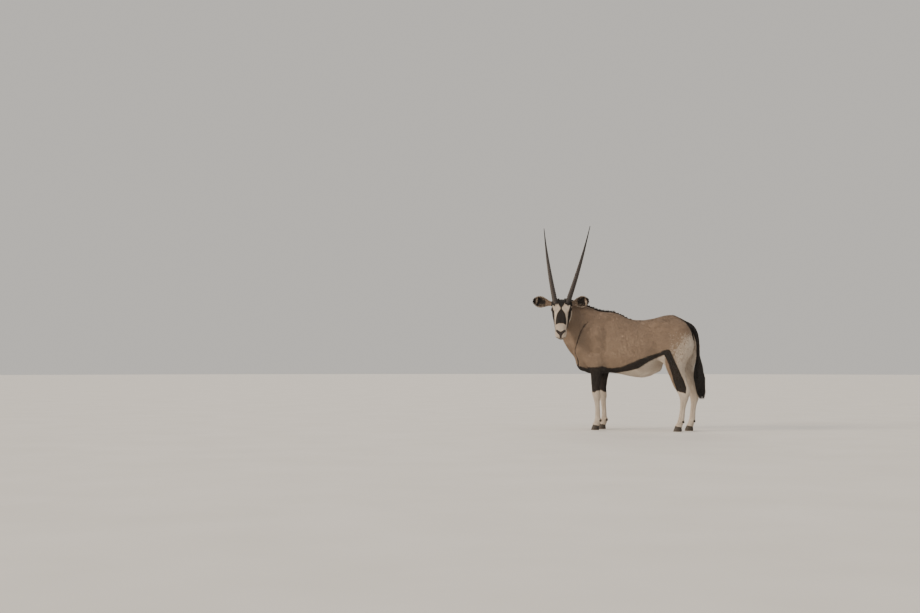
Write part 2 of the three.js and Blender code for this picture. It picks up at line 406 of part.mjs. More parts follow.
// Edge collapse by quadric error down to a number of triangles, keeping the surface closed.
// With short set, only edges shorter than that go, whatever the count.
function simplify({ pos, tri }, target, short = 0) {
  const nv = pos.length / 3, nt = tri.length / 3, Q = new Float64Array(nv * 10), vf = Array.from({ length: nv }, () => []);
  const V = (i) => [pos[3 * i], pos[3 * i + 1], pos[3 * i + 2]], alive = new Uint8Array(nt).fill(1), dead = new Uint8Array(nv), stamp = new Int32Array(nv);
  const face = (t) => [tri[3 * t], tri[3 * t + 1], tri[3 * t + 2]];
  const addQ = (i, n, d, w) => {
    const q = [n[0] * n[0], n[0] * n[1], n[0] * n[2], n[0] * d, n[1] * n[1], n[1] * n[2], n[1] * d, n[2] * n[2], n[2] * d, d * d];
    for (let k = 0; k < 10; k++) Q[10 * i + k] += q[k] * w;
  };
  for (let t = 0; t < nt; t++) {
    const [a, b, c] = face(t), A = V(a), n = cross(sub(V(b), A), sub(V(c), A)), ar = len(n);
    for (const i of [a, b, c]) vf[i].push(t);
    if (ar < 1e-16) continue;
    const u = mul(n, 1 / ar), d = -dot(u, A);
    for (const i of [a, b, c]) addQ(i, u, d, ar);
  }
  for (let i = 0; i < nv; i++) { const p = V(i); for (let a = 0; a < 3; a++) { const n = [0, 0, 0]; n[a] = 1; addQ(i, n, -p[a], 1e-9); } }
  const err = (q, p) => q[0] * p[0] * p[0] + 2 * q[1] * p[0] * p[1] + 2 * q[2] * p[0] * p[2] + 2 * q[3] * p[0] + q[4] * p[1] * p[1] + 2 * q[5] * p[1] * p[2] + 2 * q[6] * p[1] + q[7] * p[2] * p[2] + 2 * q[8] * p[2] + q[9];
  const plan = (a, b) => {
    const q = new Float64Array(10);
    for (let k = 0; k < 10; k++) q[k] = Q[10 * a + k] + Q[10 * b + k];
    const A = V(a), B = V(b), M = mul(add(A, B), 0.5), L = len(sub(A, B));
    const det = q[0] * (q[4] * q[7] - q[5] * q[5]) - q[1] * (q[1] * q[7] - q[5] * q[2]) + q[2] * (q[1] * q[5] - q[4] * q[2]);
    let best = M, e = err(q, M);
    for (const c of [A, B]) { const x = err(q, c); if (x < e) { e = x; best = c; } }
    if (Math.abs(det) > 1e-22) {
      const r = [-q[3], -q[6], -q[8]];
      const x = (r[0] * (q[4] * q[7] - q[5] * q[5]) - q[1] * (r[1] * q[7] - q[5] * r[2]) + q[2] * (r[1] * q[5] - q[4] * r[2])) / det;
      const y = (q[0] * (r[1] * q[7] - q[5] * r[2]) - r[0] * (q[1] * q[7] - q[5] * q[2]) + q[2] * (q[1] * r[2] - r[1] * q[2])) / det;
      const z = (q[0] * (q[4] * r[2] - r[1] * q[5]) - q[1] * (q[1] * r[2] - r[1] * q[2]) + r[0] * (q[1] * q[5] - q[4] * q[2])) / det;
      const p = [x, y, z];
      if (len(sub(p, M)) < L) { const v = err(q, p); if (v < e) { e = v; best = p; } }
    }
    return { e: Math.max(e, 0) + L * L * 1e-9, p: best };
  };
  const heap = [];
  const push = (x) => { let i = heap.push(x) - 1; while (i) { const p = (i - 1) >> 1; if (heap[p].e <= heap[i].e) break; [heap[p], heap[i]] = [heap[i], heap[p]]; i = p; } };
  const pop = () => {
    const r = heap[0], x = heap.pop(); if (!heap.length) return r; heap[0] = x; let i = 0;
    for (;;) { let c = 2 * i + 1; if (c >= heap.length) break; if (c + 1 < heap.length && heap[c + 1].e < heap[c].e) c++; if (heap[i].e <= heap[c].e) break; [heap[i], heap[c]] = [heap[c], heap[i]]; i = c; }
    return r;
  };
  const queue = (a, b) => { if (short && len(sub(V(a), V(b))) > short) return; const { e, p } = plan(a, b); push({ e, p, a, b, sa: stamp[a], sb: stamp[b] }); };
  const around = (v) => { const s = new Set(); for (const t of vf[v]) if (alive[t]) for (const i of face(t)) if (i !== v) s.add(i); return s; };
  for (let t = 0; t < nt; t++) { const f = face(t); for (let k = 0; k < 3; k++) if (f[k] < f[(k + 1) % 3]) queue(f[k], f[(k + 1) % 3]); }
  let count = nt;
  while (count > target && heap.length) {
    const { p, a, b, sa, sb } = pop();
    if (dead[a] || dead[b] || stamp[a] !== sa || stamp[b] !== sb) continue;
    const na = around(a), nbr = around(b);
    let common = 0; for (const x of na) if (nbr.has(x)) common++;
    if (common !== 2) continue;
    let bad = false;
    for (const v of [a, b]) for (const t of vf[v]) {
      if (!alive[t]) continue; const f = face(t); if (f.includes(a) && f.includes(b)) continue;
      const o = f.map(V), m = f.map((i) => (i === v ? p : V(i)));
      const n0 = cross(sub(o[1], o[0]), sub(o[2], o[0])), n1 = cross(sub(m[1], m[0]), sub(m[2], m[0])), l0 = len(n0), l1 = len(n1);
      const el = Math.max(len(sub(m[1], m[0])), len(sub(m[2], m[0])), len(sub(m[2], m[1])));
      if (short ? l0 > el * el * 0.02 && dot(n0, n1) < 0 : l1 < el * el * 0.06 || dot(n0, n1) < 0.35 * l0 * l1) { bad = true; break; }
    }
    if (bad) continue;
    for (const t of vf[b]) if (alive[t]) { const f = face(t); if (f.includes(a)) { alive[t] = 0; count--; } else { for (let k = 0; k < 3; k++) if (tri[3 * t + k] === b) tri[3 * t + k] = a; vf[a].push(t); } }
    vf[a] = vf[a].filter((t) => alive[t]); dead[b] = 1;
    for (let k = 0; k < 3; k++) pos[3 * a + k] = p[k];
    for (let k = 0; k < 10; k++) Q[10 * a + k] += Q[10 * b + k];
    stamp[a]++;
    for (const x of around(a)) queue(Math.min(a, x), Math.max(a, x));
  }
  const map = new Int32Array(nv).fill(-1), P2 = [], T2 = [];
  for (let t = 0; t < nt; t++) if (alive[t]) for (const i of face(t)) { if (map[i] < 0) { map[i] = P2.length / 3; P2.push(pos[3 * i], pos[3 * i + 1], pos[3 * i + 2]); } T2.push(map[i]); }
  return { pos: P2, tri: T2 };
}

// ---------------------------------------------------------------- solids
const solid = ({ pos, tri }) => new wasm.Manifold(new wasm.Mesh({ numProp: 3, vertProperties: new Float32Array(pos), triVerts: new Uint32Array(tri) }));
function fromGeometry(g) {
  for (const k of Object.keys(g.attributes)) if (k !== "position") g.deleteAttribute(k);
  const m = mergeVertices(g, 1e-7);
  return solid({ pos: m.attributes.position.array, tri: m.index.array });
}
const block = (lo, hi) => fromGeometry(new THREE.BoxGeometry(hi[0] - lo[0], hi[1] - lo[1], hi[2] - lo[2]).translate((lo[0] + hi[0]) / 2, (lo[1] + hi[1]) / 2, (lo[2] + hi[2]) / 2));
// Everything on the side of a plane that its normal points to.
function side(point, normal, size = 3) {
  const g = new THREE.BoxGeometry(size, size, size).translate(0, 0, size / 2);
  g.applyQuaternion(new THREE.Quaternion().setFromUnitVectors(new THREE.Vector3(0, 0, 1), new THREE.Vector3(...unit(normal))));
  return fromGeometry(g.translate(...point));
}
// A closed skin over rings that all have the same number of points.
function loft(rings) {
  const n = rings[0].length, pos = [], tri = [];
  for (const r of rings) for (const p of r) pos.push(...p);
  const mid = (r) => mul(r.reduce((s, p) => add(s, p), [0, 0, 0]), 1 / n);
  for (let i = 0; i + 1 < rings.length; i++) for (let j = 0; j < n; j++) {
    const a = i * n + j, b = i * n + (j + 1) % n, c = a + n, d = b + n;
    tri.push(a, b, d, a, d, c);
  }
  const e0 = pos.length / 3; pos.push(...mid(rings[0])); const e1 = e0 + 1; pos.push(...mid(rings[rings.length - 1]));
  for (let j = 0; j < n; j++) { tri.push(e0, (j + 1) % n, j); const k = (rings.length - 1) * n; tri.push(e1, k + j, k + (j + 1) % n); }
  let vol = 0; const V = (i) => [pos[3 * i], pos[3 * i + 1], pos[3 * i + 2]];
  for (let t = 0; t < tri.length; t += 3) vol += dot(V(tri[t]), cross(V(tri[t + 1]), V(tri[t + 2])));
  if (vol < 0) for (let t = 0; t < tri.length; t += 3) [tri[t + 1], tri[t + 2]] = [tri[t + 2], tri[t + 1]];
  return { pos, tri };
}

const group = new THREE.Group();
const coats = {
  fawn: ["#8d7763", 0.9], dark: ["#1d1714", 0.85], pale: ["#cfc3b2", 0.9], horn: ["#2b221c", 0.45], hoof: ["#2a2420", 0.5], eye: ["#120b07", 0.1], teat: ["#6b4d43", 0.7],
};
function show(name, m, coat) {
  if (m.getMesh) { const q = m.getMesh(); m = { pos: q.vertProperties, tri: q.triVerts }; }
  m = simplify({ pos: Array.from(m.pos), tri: Array.from(m.tri) }, 0, 0.00025);
  const g = new THREE.BufferGeometry(), p = new Float32Array(m.pos.length);
  for (let i = 0; i < p.length; i += 3) { p[i] = (m.pos[i] + SHIFT_X) * MM; p[i + 1] = (m.pos[i + 1] + SHIFT_Y) * MM; p[i + 2] = m.pos[i + 2] * MM; }
  g.setAttribute("position", new THREE.BufferAttribute(p, 3)); g.setIndex(Array.from(m.tri)); g.computeVertexNormals();
  const mesh = new THREE.Mesh(g, new THREE.MeshStandardMaterial({ color: coats[coat][0], roughness: coats[coat][1], metalness: 0 }));
  mesh.name = name; group.add(mesh);
}
// The biggest closed piece of a cut, in case the plane leaves a crumb.
const main = (m) => { const d = m.decompose(); return d.length < 2 ? m : d.sort((a, b) => b.volume() - a.volume())[0]; };

// ---------------------------------------------------------------- cutting planes
const neckPoint = add(NECK_FROM, NS, NECK_CUT);
const g2 = GAP / 2;
const hindBlock = (sd, g) => block([HIND_FRONT + g, sd > 0 ? g : -0.5, -0.1], [0.9, sd > 0 ? 0.5 : -g, LEG_TOP_HIND - g]);
const foreBlock = (sd, g) => block([-0.56 + g, sd > 0 ? 0.058 + g : -0.5, -0.1], [-0.29 - g, sd > 0 ? 0.5 : -0.058 - g, LEG_TOP_FORE - g]);
// The head ends behind the jaw and the poll, and at its own sides.
const headBlock = (g) => side(add(hp(0.12, 0, -0.19), HEAD_CUT, g), HEAD_CUT).intersect(side(hp(0, 0, -HEAD_DEPTH + g), HU))
  .intersect(side(hp(0, HEAD_SIDE - g, 0), mul(HL, -1))).intersect(side(hp(0, -HEAD_SIDE + g, 0), HL)).intersect(side([0, 0, 0.8 + g], Z));
const udderBlock = (g) => block([UDDER_FRONT + g, -UDDER_HALF + g, 0.4], [HIND_FRONT - g, UDDER_HALF - g, UDDER_TOP - g]);

// ---------------------------------------------------------------- trunk and neck
const torso = solid(simplify(meshField(body, [-0.95, -0.33, 0.48], [0.62, 0.33, 1.42], 0.014), 1800));
const tailRings = (grow) => {
  const z = TAIL.map((r) => r[1]), path = new THREE.CatmullRomCurve3(TAIL.map((r) => new THREE.Vector3(r[0], 0, r[1]))), out = [], N = 14;
  for (let i = 0; i <= N; i++) {
    const t = i / N, c = path.getPoint(t), d = path.getTangent(t), x = t * (TAIL.length - 1), j = Math.min(TAIL.length - 2, Math.floor(x)), u = x - j;
    const hx = TAIL[j][2] * (1 - u) + TAIL[j + 1][2] * u + grow, hy = TAIL[j][3] * (1 - u) + TAIL[j + 1][3] * u + grow, nrm = unit([d.z, 0, -d.x]), ring = [];
    for (let a = 0; a < 12; a++) { const th = a / 12 * 2 * Math.PI; ring.push(add(add([c.x, 0, c.z], nrm, hx * Math.cos(th)), Y, hy * Math.sin(th))); }
    out.push(ring);
  }
  return out;
};
const tailTop = 0.475;              // the tail shows as its own piece behind this x
const tailSolid = solid(loft(tailRings(0))).intersect(side([tailTop + g2, 0, 0], X));
let trunk = torso.subtract(side(add(neckPoint, NS, -g2), NS)).subtract(solid(loft(tailRings(GAP))).intersect(side([tailTop - g2, 0, 0], X)));
for (const sd of [-1, 1]) trunk = trunk.subtract(hindBlock(sd, -g2)).subtract(foreBlock(sd, -g2));
trunk = main(trunk.subtract(udderBlock(-g2)));
show("trunk", trunk, "fawn");
const neckMesh = solid(simplify(meshField(whole, [-0.95, -0.36, 0.62], [-0.25, 0.22, 1.42], 0.012), 1000));
// Room in the neck for the back of the left ear, which lies close to it.
const earRoom = solid(ears.l.skin(0.004, 0.0025));
show("neck", main(neckMesh.subtract(earRoom).intersect(side(add(neckPoint, NS, g2), NS)).subtract(headBlock(-g2))), "fawn");

// ---------------------------------------------------------------- head, eyes, ears, horns
function hornRings(sd, grow, deep) {
  const base = hp(HORN.s, sd * HORN.l, HORN.u);
  const rise = sd > 0 ? HORN.riseLeft : HORN.riseRight, back = mul(HB, -HORN.lean), out = mul(HL, sd > 0 ? HORN.splayLeft : -HORN.splayRight);
  const tip = add(add(add(base, back), out), Z, rise);
  const dir = unit(sub(tip, base)), bowDir = unit(add(mul(HL, sd), dir, -dot(mul(HL, sd), dir)));
  const mid = add(mul(add(base, tip), 0.5), bowDir, HORN.bow * 2);
  const path = new THREE.QuadraticBezierCurve3(new THREE.Vector3(...add(base, dir, -deep)), new THREE.Vector3(...mid), new THREE.Vector3(...tip));
  const N = 24, seg = 12, rings = [], b2 = cross(dir, bowDir);
  for (let i = 0; i <= N; i++) {
    const t = i / N, p = path.getPoint(t), s = t * len(sub(tip, base));
    let r = HORN.radius * (1 - t) + HORN.tip * t + 0.0022 * Math.sin(Math.PI * Math.min(1, t * 1.3)) + grow;
    if (grow === 0 && s < HORN.ringPitch * HORN.rings && s > 0.055) r += (i % 2 ? 1 : -1) * HORN.ringHeight * (1 - t);
    const ring = [];
    for (let a = 0; a < seg; a++) { const th = (a + (i % 2) * 0) / seg * 2 * Math.PI; ring.push(add(add([p.x, p.y, p.z], bowDir, r * Math.cos(th)), b2, r * Math.sin(th))); }
    rings.push(ring);
  }
  return rings;
}
let head = solid(simplify(meshField(wholeEar, [-1.02, -0.62, 0.86], [-0.46, 0.10, 1.44], 0.0065), 1760)).intersect(headBlock(g2));
const earSolids = {};
for (const [k, sd] of [["l", 1], ["r", -1]]) {
  const e = ears[k], cut = add(e.root, e.A, earCut);
  earSolids[k] = solid(e.skin(earCut + g2, 0));
  head = head.subtract(side(add(cut, e.A, -g2), e.A, 0.25));
  const centre = hp(EYE_AT.s, sd * EYE_AT.l, EYE_AT.u);
  const ball = (r, a, b) => new THREE.SphereGeometry(r, a, b).rotateZ(rad(sd > 0 ? 0 : 180)).translate(...centre);
  head = head.subtract(fromGeometry(ball(EYE_RADIUS + GAP + 0.0003, 20, 14)));
  show("eye_" + k, fromGeometry(ball(EYE_RADIUS, 16, 10)), "eye");
  head = head.subtract(solid(loft(hornRings(sd, GAP + 0.0007, 0.006 + GAP))));
  show("horn_" + k, loft(hornRings(sd, 0, 0.006)), "horn");
}
head = main(head);
show("head", head, "fawn");
show("ear_l", earSolids.l, "fawn");
show("ear_r", earSolids.r, "fawn");

// ---------------------------------------------------------------- tail
const tuftRings = TUFT.map(([z, x, hx, hy], i) => {
  const ring = [];
  for (let a = 0; a < 14; a++) { const th = a / 14 * 2 * Math.PI, lock = 1 + 0.10 * Math.cos(3 * th + i * 0.9); ring.push([x + hx * lock * Math.cos(th), hy * lock * Math.sin(th), z]); }
  return ring;
});
const tuft = solid(loft(tuftRings));
const tuftTop = TUFT[0][0] - 0.012;
show("tail", main(tailSolid.subtract(block([0.3, -0.3, 0], [0.9, 0.3, tuftTop + g2]))), "dark");
show("tail_tuft", main(tuft.intersect(block([0.3, -0.3, 0], [0.9, 0.3, tuftTop - g2]))), "dark");

// ---------------------------------------------------------------- udder
show("udder", main(solid(simplify(meshField(body, [0.02, -0.20, 0.49], [0.30, 0.20, 0.70], 0.0055), 520)).intersect(udderBlock(g2))), "teat");

// ---------------------------------------------------------------- legs and feet
// A claw: flat sole on the ground, pointed toe to the front, straight inner wall.
function claw(x, y, inward, toe, heel, width, grow) {
  const plane = (px) => CORONET - CORONET_SLOPE * (px - (toe + heel) / 2) - GAP;
  const rings = [0, 0.5, 1].map((t) => {
    const f = toe + 0.022 * t, r = heel - 0.004 * t, w = width * (1 - 0.10 * t), ring = [];
    for (let a = 0; a < 12; a++) {
      const th = a / 12 * 2 * Math.PI, c = Math.cos(th), s = Math.sin(th), long = (r - f) / 2;
      const taper = c < 0 ? 1 - 0.35 * c * c : 1, flat = s * inward > 0 ? 0.72 : 1;
      const px = (f + r) / 2 + long * Math.sign(c) * Math.abs(c) ** 0.85, py = y + inward * 0.002 + w * 0.5 * s * taper * flat;
      ring.push([px, py, plane(px) * t]);
    }
    return ring;
  });
  return loft(rings);
}
const legs = [["hind", "l", -1], ["hind", "r", 1], ["fore", "l", -1], ["fore", "r", 1]];
for (const [kind, k, sd] of legs) {
  const rows = kind === "hind" ? HIND : FORE, back = sd > 0 ? (kind === "hind" ? HIND_RIGHT_BACK : FORE_RIGHT_BACK) : null;
  const foot = rows[rows.length - 1], dx = back ? lerpTable(back, 0.03) : 0, y = sd * foot[3];
  const toe = foot[1] + dx - 0.004, heel = foot[2] + dx - 0.003, mid = (toe + heel) / 2;
  const top = kind === "hind" ? LEG_TOP_HIND : LEG_TOP_FORE, joint = kind === "hind" ? HOCK_CUT : KNEE_CUT;
  const xs = kind === "hind" ? [0.10, 0.72] : [-0.62, -0.22];
  const upper = solid(simplify(meshField(body, [xs[0], sd > 0 ? -0.04 : -0.30, joint - 0.06], [xs[1], sd > 0 ? 0.30 : 0.04, top + 0.05], 0.010), kind === "hind" ? 540 : 360));
  const region = kind === "hind" ? hindBlock(sd, g2) : foreBlock(sd, g2);
  show((kind === "hind" ? "thigh_" : "forearm_") + k, main(upper.intersect(region).intersect(side([0, 0, joint + g2], Z))), kind === "hind" ? "fawn" : "dark");
  const lower = solid(simplify(meshField(body, [xs[0], sd > 0 ? 0.02 : -0.20, 0.012], [xs[1], sd > 0 ? 0.20 : -0.02, joint + 0.04], 0.0062), 430));
  show(kind + "_shank_" + k, main(lower.subtract(side([0, 0, joint - g2], Z)).intersect(side([mid, 0, CORONET], [CORONET_SLOPE, 0, 1]))), "pale");
  for (const [n, o] of [["outer", 1], ["inner", -1]])
    show(`${kind}_claw_${n}_${k}`, claw(mid, y + sd * o * 0.0172, -sd * o, toe, heel, 0.0335, 0), "hoof");
}

export default group;
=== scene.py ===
import bpy
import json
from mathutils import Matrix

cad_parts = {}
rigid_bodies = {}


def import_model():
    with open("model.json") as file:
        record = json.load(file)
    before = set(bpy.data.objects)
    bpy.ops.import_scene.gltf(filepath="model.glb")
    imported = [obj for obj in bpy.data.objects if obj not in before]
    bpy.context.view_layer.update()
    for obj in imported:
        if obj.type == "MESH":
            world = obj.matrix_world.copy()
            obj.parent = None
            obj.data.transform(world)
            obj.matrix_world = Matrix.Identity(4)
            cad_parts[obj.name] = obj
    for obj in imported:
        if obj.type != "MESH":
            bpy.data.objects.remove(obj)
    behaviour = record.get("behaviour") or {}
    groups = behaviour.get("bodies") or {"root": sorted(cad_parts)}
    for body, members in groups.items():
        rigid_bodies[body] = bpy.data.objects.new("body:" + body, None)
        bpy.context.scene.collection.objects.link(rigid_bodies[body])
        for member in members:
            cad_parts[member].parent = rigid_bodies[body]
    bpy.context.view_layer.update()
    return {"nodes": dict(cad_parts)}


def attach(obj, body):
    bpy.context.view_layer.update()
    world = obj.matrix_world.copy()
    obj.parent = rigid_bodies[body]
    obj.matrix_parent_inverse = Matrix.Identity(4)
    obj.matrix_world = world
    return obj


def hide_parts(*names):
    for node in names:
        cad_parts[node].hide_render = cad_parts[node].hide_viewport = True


for old in list(bpy.data.objects): bpy.data.objects.remove(old)

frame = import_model()
import math
import json
import time
import numpy as np

began = time.time()
SHIFT = np.array([0.19848, 0.089074, 0.0])      # from the body's own frame to the shared frame
V = lambda *a: np.array(a, float)
unit = lambda v: v/np.maximum(np.linalg.norm(v, axis=-1, keepdims=True), 1e-12)
rng = np.random.default_rng(7)


def told(what):
    print("%6.1f s  %s" % (time.time()-began, what))


# ---------------------------------------------------------------- the body's measures
HB = V(0.2588, -0.9659, 0)                     # the way the face looks, level
TH = math.radians(28)
HP = V(-0.7450, -0.2400, 1.316)                # poll
HF = math.sin(TH)*HB-math.cos(TH)*V(0, 0, 1)   # down the face
HU = math.cos(TH)*HB+math.sin(TH)*V(0, 0, 1)   # out of the face
HL = V(0.9659, 0.2588, 0)                      # the head's own left
HR = np.array([HF, HL, HU])


def hp(s, l, u): return HP+s*HF+l*HL+u*HU


TRUNK = [ # x, ztop, zbot, zc, halfwidth, n_up, n_down
 (-0.655, .90, .700, .800, .060, 2.0, 2.0),
 (-0.635, .95, .650, .790, .092, 2.0, 2.0),
 (-0.60, 1.02, .605, .790, .120, 2.0, 1.9),
 (-0.54, 1.10, .566, .790, .141, 1.9, 1.8),
 (-0.46, 1.155, .556, .790, .158, 1.8, 1.8),
 (-0.38, 1.192, .564, .790, .174, 1.7, 1.9),
 (-0.30, 1.197, .570, .785, .192, 1.65, 2.0),
 (-0.22, 1.172, .560, .780, .212, 1.7, 2.05),
 (-0.12, 1.120, .540, .770, .232, 1.8, 2.1),
 (-0.05, 1.104, .528, .765, .240, 1.85, 2.1),
 (0.02, 1.101, .522, .765, .242, 1.85, 2.1),
 (0.09, 1.108, .534, .775, .235, 1.9, 2.1),
 (0.16, 1.121, .590, .795, .219, 1.9, 2.1),
 (0.21, 1.134, .655, .820, .205, 1.9, 2.1),
 (0.26, 1.145, .690, .840, .192, 1.85, 2.0),
 (0.33, 1.149, .715, .860, .175, 1.8, 2.0),
 (0.40, 1.122, .735, .880, .158, 1.8, 2.0),
 (0.47, 1.080, .770, .900, .128, 1.8, 2.0),
 (0.530, 1.025, .820, .910, .080, 2.0, 2.0)]

HIND = [ # z, x front, x rear, y, half width
 (1.10, .330, .430, .085, .035),
 (1.06, .250, .490, .095, .062),
 (1.00, .200, .530, .103, .086),
 (0.92, .185, .555, .108, .097),
 (0.85, .180, .568, .113, .102),
 (0.78, .193, .560, .117, .099),
 (0.72, .228, .530, .120, .092),
 (0.66, .272, .493, .122, .081),
 (0.60, .300, .479, .120, .068),
 (0.54, .325, .492, .115, .056),
 (0.48, .347, .508, .110, .045),
 (0.44, .364, .520, .106, .039),
 (0.40, .388, .528, .103, .037),
 (0.36, .409, .522, .101, .037),
 (0.32, .422, .508, .100, .034),
 (0.28, .4255, .494, .100, .028),
 (0.24, .4240, .482, .100, .0245),
 (0.20, .4200, .475, .100, .0235),
 (0.15, .4110, .470, .100, .0235),
 (0.115, .403, .466, .100, .0265),
 (0.088, .394, .460, .100, .0300),
 (0.065, .380, .449, .100, .0290),
 (0.045, .366, .443, .100, .0310),
 (0.030, .360, .441, .100, .0310)]
HIND_FAR_DX = [(0.0, .068), (0.20, .058), (0.40, .056), (0.62, .035), (0.80, .012), (1.0, .0)]

FORE = [
 (0.78, -.490, -.335, .135, .050),
 (0.72, -.500, -.335, .135, .057),
 (0.66, -.490, -.338, .132, .056),
 (0.62, -.482, -.344, .128, .052),
 (0.58, -.480, -.357, .125, .047),
 (0.54, -.477, -.367, .122, .043),
 (0.50, -.475, -.375, .119, .040),
 (0.46, -.474, -.380, .116, .038),
 (0.42, -.471, -.385, .113, .0355),
 (0.385, -.469, -.384, .111, .0375),
 (0.36, -.467, -.382, .110, .0390),
 (0.33, -.458, -.381, .109, .0375),
 (0.30, -.450, -.388, .108, .0330),
 (0.27, -.443, -.389, .107, .0280),
 (0.22, -.438, -.389, .106, .0240),
 (0.17, -.437, -.387, .105, .0232),
 (0.125, -.440, -.385, .104, .0255),
 (0.095, -.447, -.378, .104, .0300),
 (0.070, -.458, -.386, .104, .0285),
 (0.050, -.470, -.396, .104, .0310),
 (0.034, -.476, -.400, .104, .0310)]

NO = V(-0.40, 0.0, .86)
NS = V(-.6316, -.2576, .7313)
NB = V(.72, .10, .66); NB = NB-(NB@NS)*NS; NB /= np.linalg.norm(NB)
NA = np.cross(NB, NS)
NECK = [ # s, side centre, throat, top, halfwidth
 (-0.06, .000, -.255, .290, .140),
 (0.03, .002, -.285, .290, .150),
 (0.12, .000, -.293, .268, .140),
 (0.22, -.004, -.282, .236, .125),
 (0.32, -.006, -.252, .200, .100),
 (0.42, -.004, -.205, .150, .083),
 (0.50, .000, -.152, .105, .075),
 (0.57, .004, -.112, .070, .070)]

HEAD = [ # s, top, bottom, centre, halfwidth, nu, nd
 (-0.030, -.055, -.130, -.090, .054, 2.0, 2.0),
 (-0.010, -.026, -.155, -.085, .073, 2.0, 2.0),
 (0.020, -.006, -.168, -.075, .084, 2.2, 2.0),
 (0.060, .003, -.176, -.070, .089, 2.4, 2.0),
 (0.100, .004, -.180, -.068, .091, 2.6, 2.0),
 (0.140, .000, -.178, -.068, .088, 2.6, 2.0),
 (0.180, -.002, -.168, -.066, .083, 2.5, 2.0),
 (0.220, -.001, -.153, -.064, .077, 2.4, 2.0),
 (0.260, .000, -.138, -.062, .070, 2.3, 2.1),
 (0.300, -.001, -.126, -.060, .064, 2.3, 2.2),
 (0.340, -.004, -.117, -.060, .059, 2.3, 2.3),
 (0.370, -.011, -.112, -.061, .057, 2.3, 2.3),
 (0.395, -.023, -.108, -.063, .052, 2.2, 2.2),
 (0.412, -.036, -.100, -.066, .040, 2.1, 2.1),
 (0.420, -.046, -.090, -.068, .025, 2.0, 2.0)]

TAIL = [ # centre, half x, half y
 ((0.43, 0, 1.030), .045, .050),
 ((0.490, 0, 1.035), .036, .040),
 ((0.535, 0, 1.005), .029, .033),
 ((0.565, 0, 0.950), .024, .027),
 ((0.580, 0, 0.880), .020, .022),
 ((0.583, 0, 0.800), .018, .019),
 ((0.583, 0, 0.720), .016, .017),
 ((0.582, 0, 0.640), .014, .014)]

# ---------------------------------------------------------------- maths
def hermite_lut(xs, ys, n=512):
    """Monotone cubic through the knots, sampled at n even places."""
    xs = np.asarray(xs, float); ys = np.asarray(ys, float)
    h = np.diff(xs); d = np.diff(ys)/h
    m = np.zeros(len(xs)); m[0], m[-1] = d[0], d[-1]
    for i in range(1, len(xs)-1):
        if d[i-1]*d[i] > 0:
            w1, w2 = 2*h[i]+h[i-1], h[i]+2*h[i-1]
            m[i] = (w1+w2)/(w1/d[i-1]+w2/d[i])
    t = np.linspace(xs[0], xs[-1], n)
    i = np.clip(np.searchsorted(xs, t)-1, 0, len(h)-1)
    u = (t-xs[i])/h[i]
    return t, ((2*u**3-3*u**2+1)*ys[i] + (u**3-2*u**2+u)*h[i]*m[i] + (-2*u**3+3*u**2)*ys[i+1] + (u**3-u**2)*h[i]*m[i+1])

def smin(a, b, k):
    h = np.maximum(k-np.abs(a-b), 0)/k
    return np.minimum(a, b) - h*h*k*.25
def smax(a, b, k): return -smin(-a, -b, k)

class Slab:
    """Sections across axis S: centre (ca, cb) on A and B, half width w, half heights hu and hd, exponents nu and nd."""
    def __init__(self, o, S, A, B, rows, caps, k):
        self.o, self.S, self.A, self.B, self.caps, self.k = V(*o), V(*S), V(*A), V(*B), caps, k
        r = sorted(rows); xs = [q[0] for q in r]
        cols = [hermite_lut(xs, [q[j] for q in r])[1] for j in range(1, 8)]
        self.t = np.linspace(xs[0], xs[-1], 512); self.cols = cols
        # bounds in world space
        pts = []
        for i in range(0, 512, 8):
            ca, cb, w, hu, hd = (c[i] for c in cols[:5])
            for a in (-w, w):
                for b in (-hd, hu):
                    pts.append(self.o+self.t[i]*self.S+(ca+a)*self.A+(cb+b)*self.B)
        self.lo, self.hi = np.min(pts, 0), np.max(pts, 0)
    def __call__(self, P):
        q = P-self.o
        s, a, b = q@self.S, q@self.A, q@self.B
        t0, t1 = self.t[0], self.t[-1]
        sc = np.clip(s, t0, t1)
        ca, cb, w, hu, hd, nu, nd = (np.interp(sc, self.t, c) for c in self.cols)
        c0, c1 = self.caps
        f = np.ones_like(sc)
        if c0: 
            m = sc < t0+c0; f[m] = np.sqrt(np.maximum(1-((t0+c0-sc[m])/c0)**2, 0))
        if c1:
            m = sc > t1-c1; f[m] = np.minimum(f[m], np.sqrt(np.maximum(1-((sc[m]-t1+c1)/c1)**2, 0)))
        f = np.maximum(f, .04)
        a = a-ca; b = b-cb
        up = b > 0
        h = np.where(up, hu, hd)*f; n = np.where(up, nu, nd); w = w*f
        A_, B_ = np.abs(a)/w+1e-9, np.abs(b)/h+1e-9
        rr = (A_**n+B_**n)**(1/n)
        m = np.hypot(a, b)
        r = np.where(rr > .05, m*(1-1/np.maximum(rr, .05)), -np.minimum(w, h))
        # a little truer distance past the ends: the radial distance joined with the distance along the axis
        ax = s-sc
        return np.where(ax != 0, np.hypot(np.maximum(r, 0), ax), r)

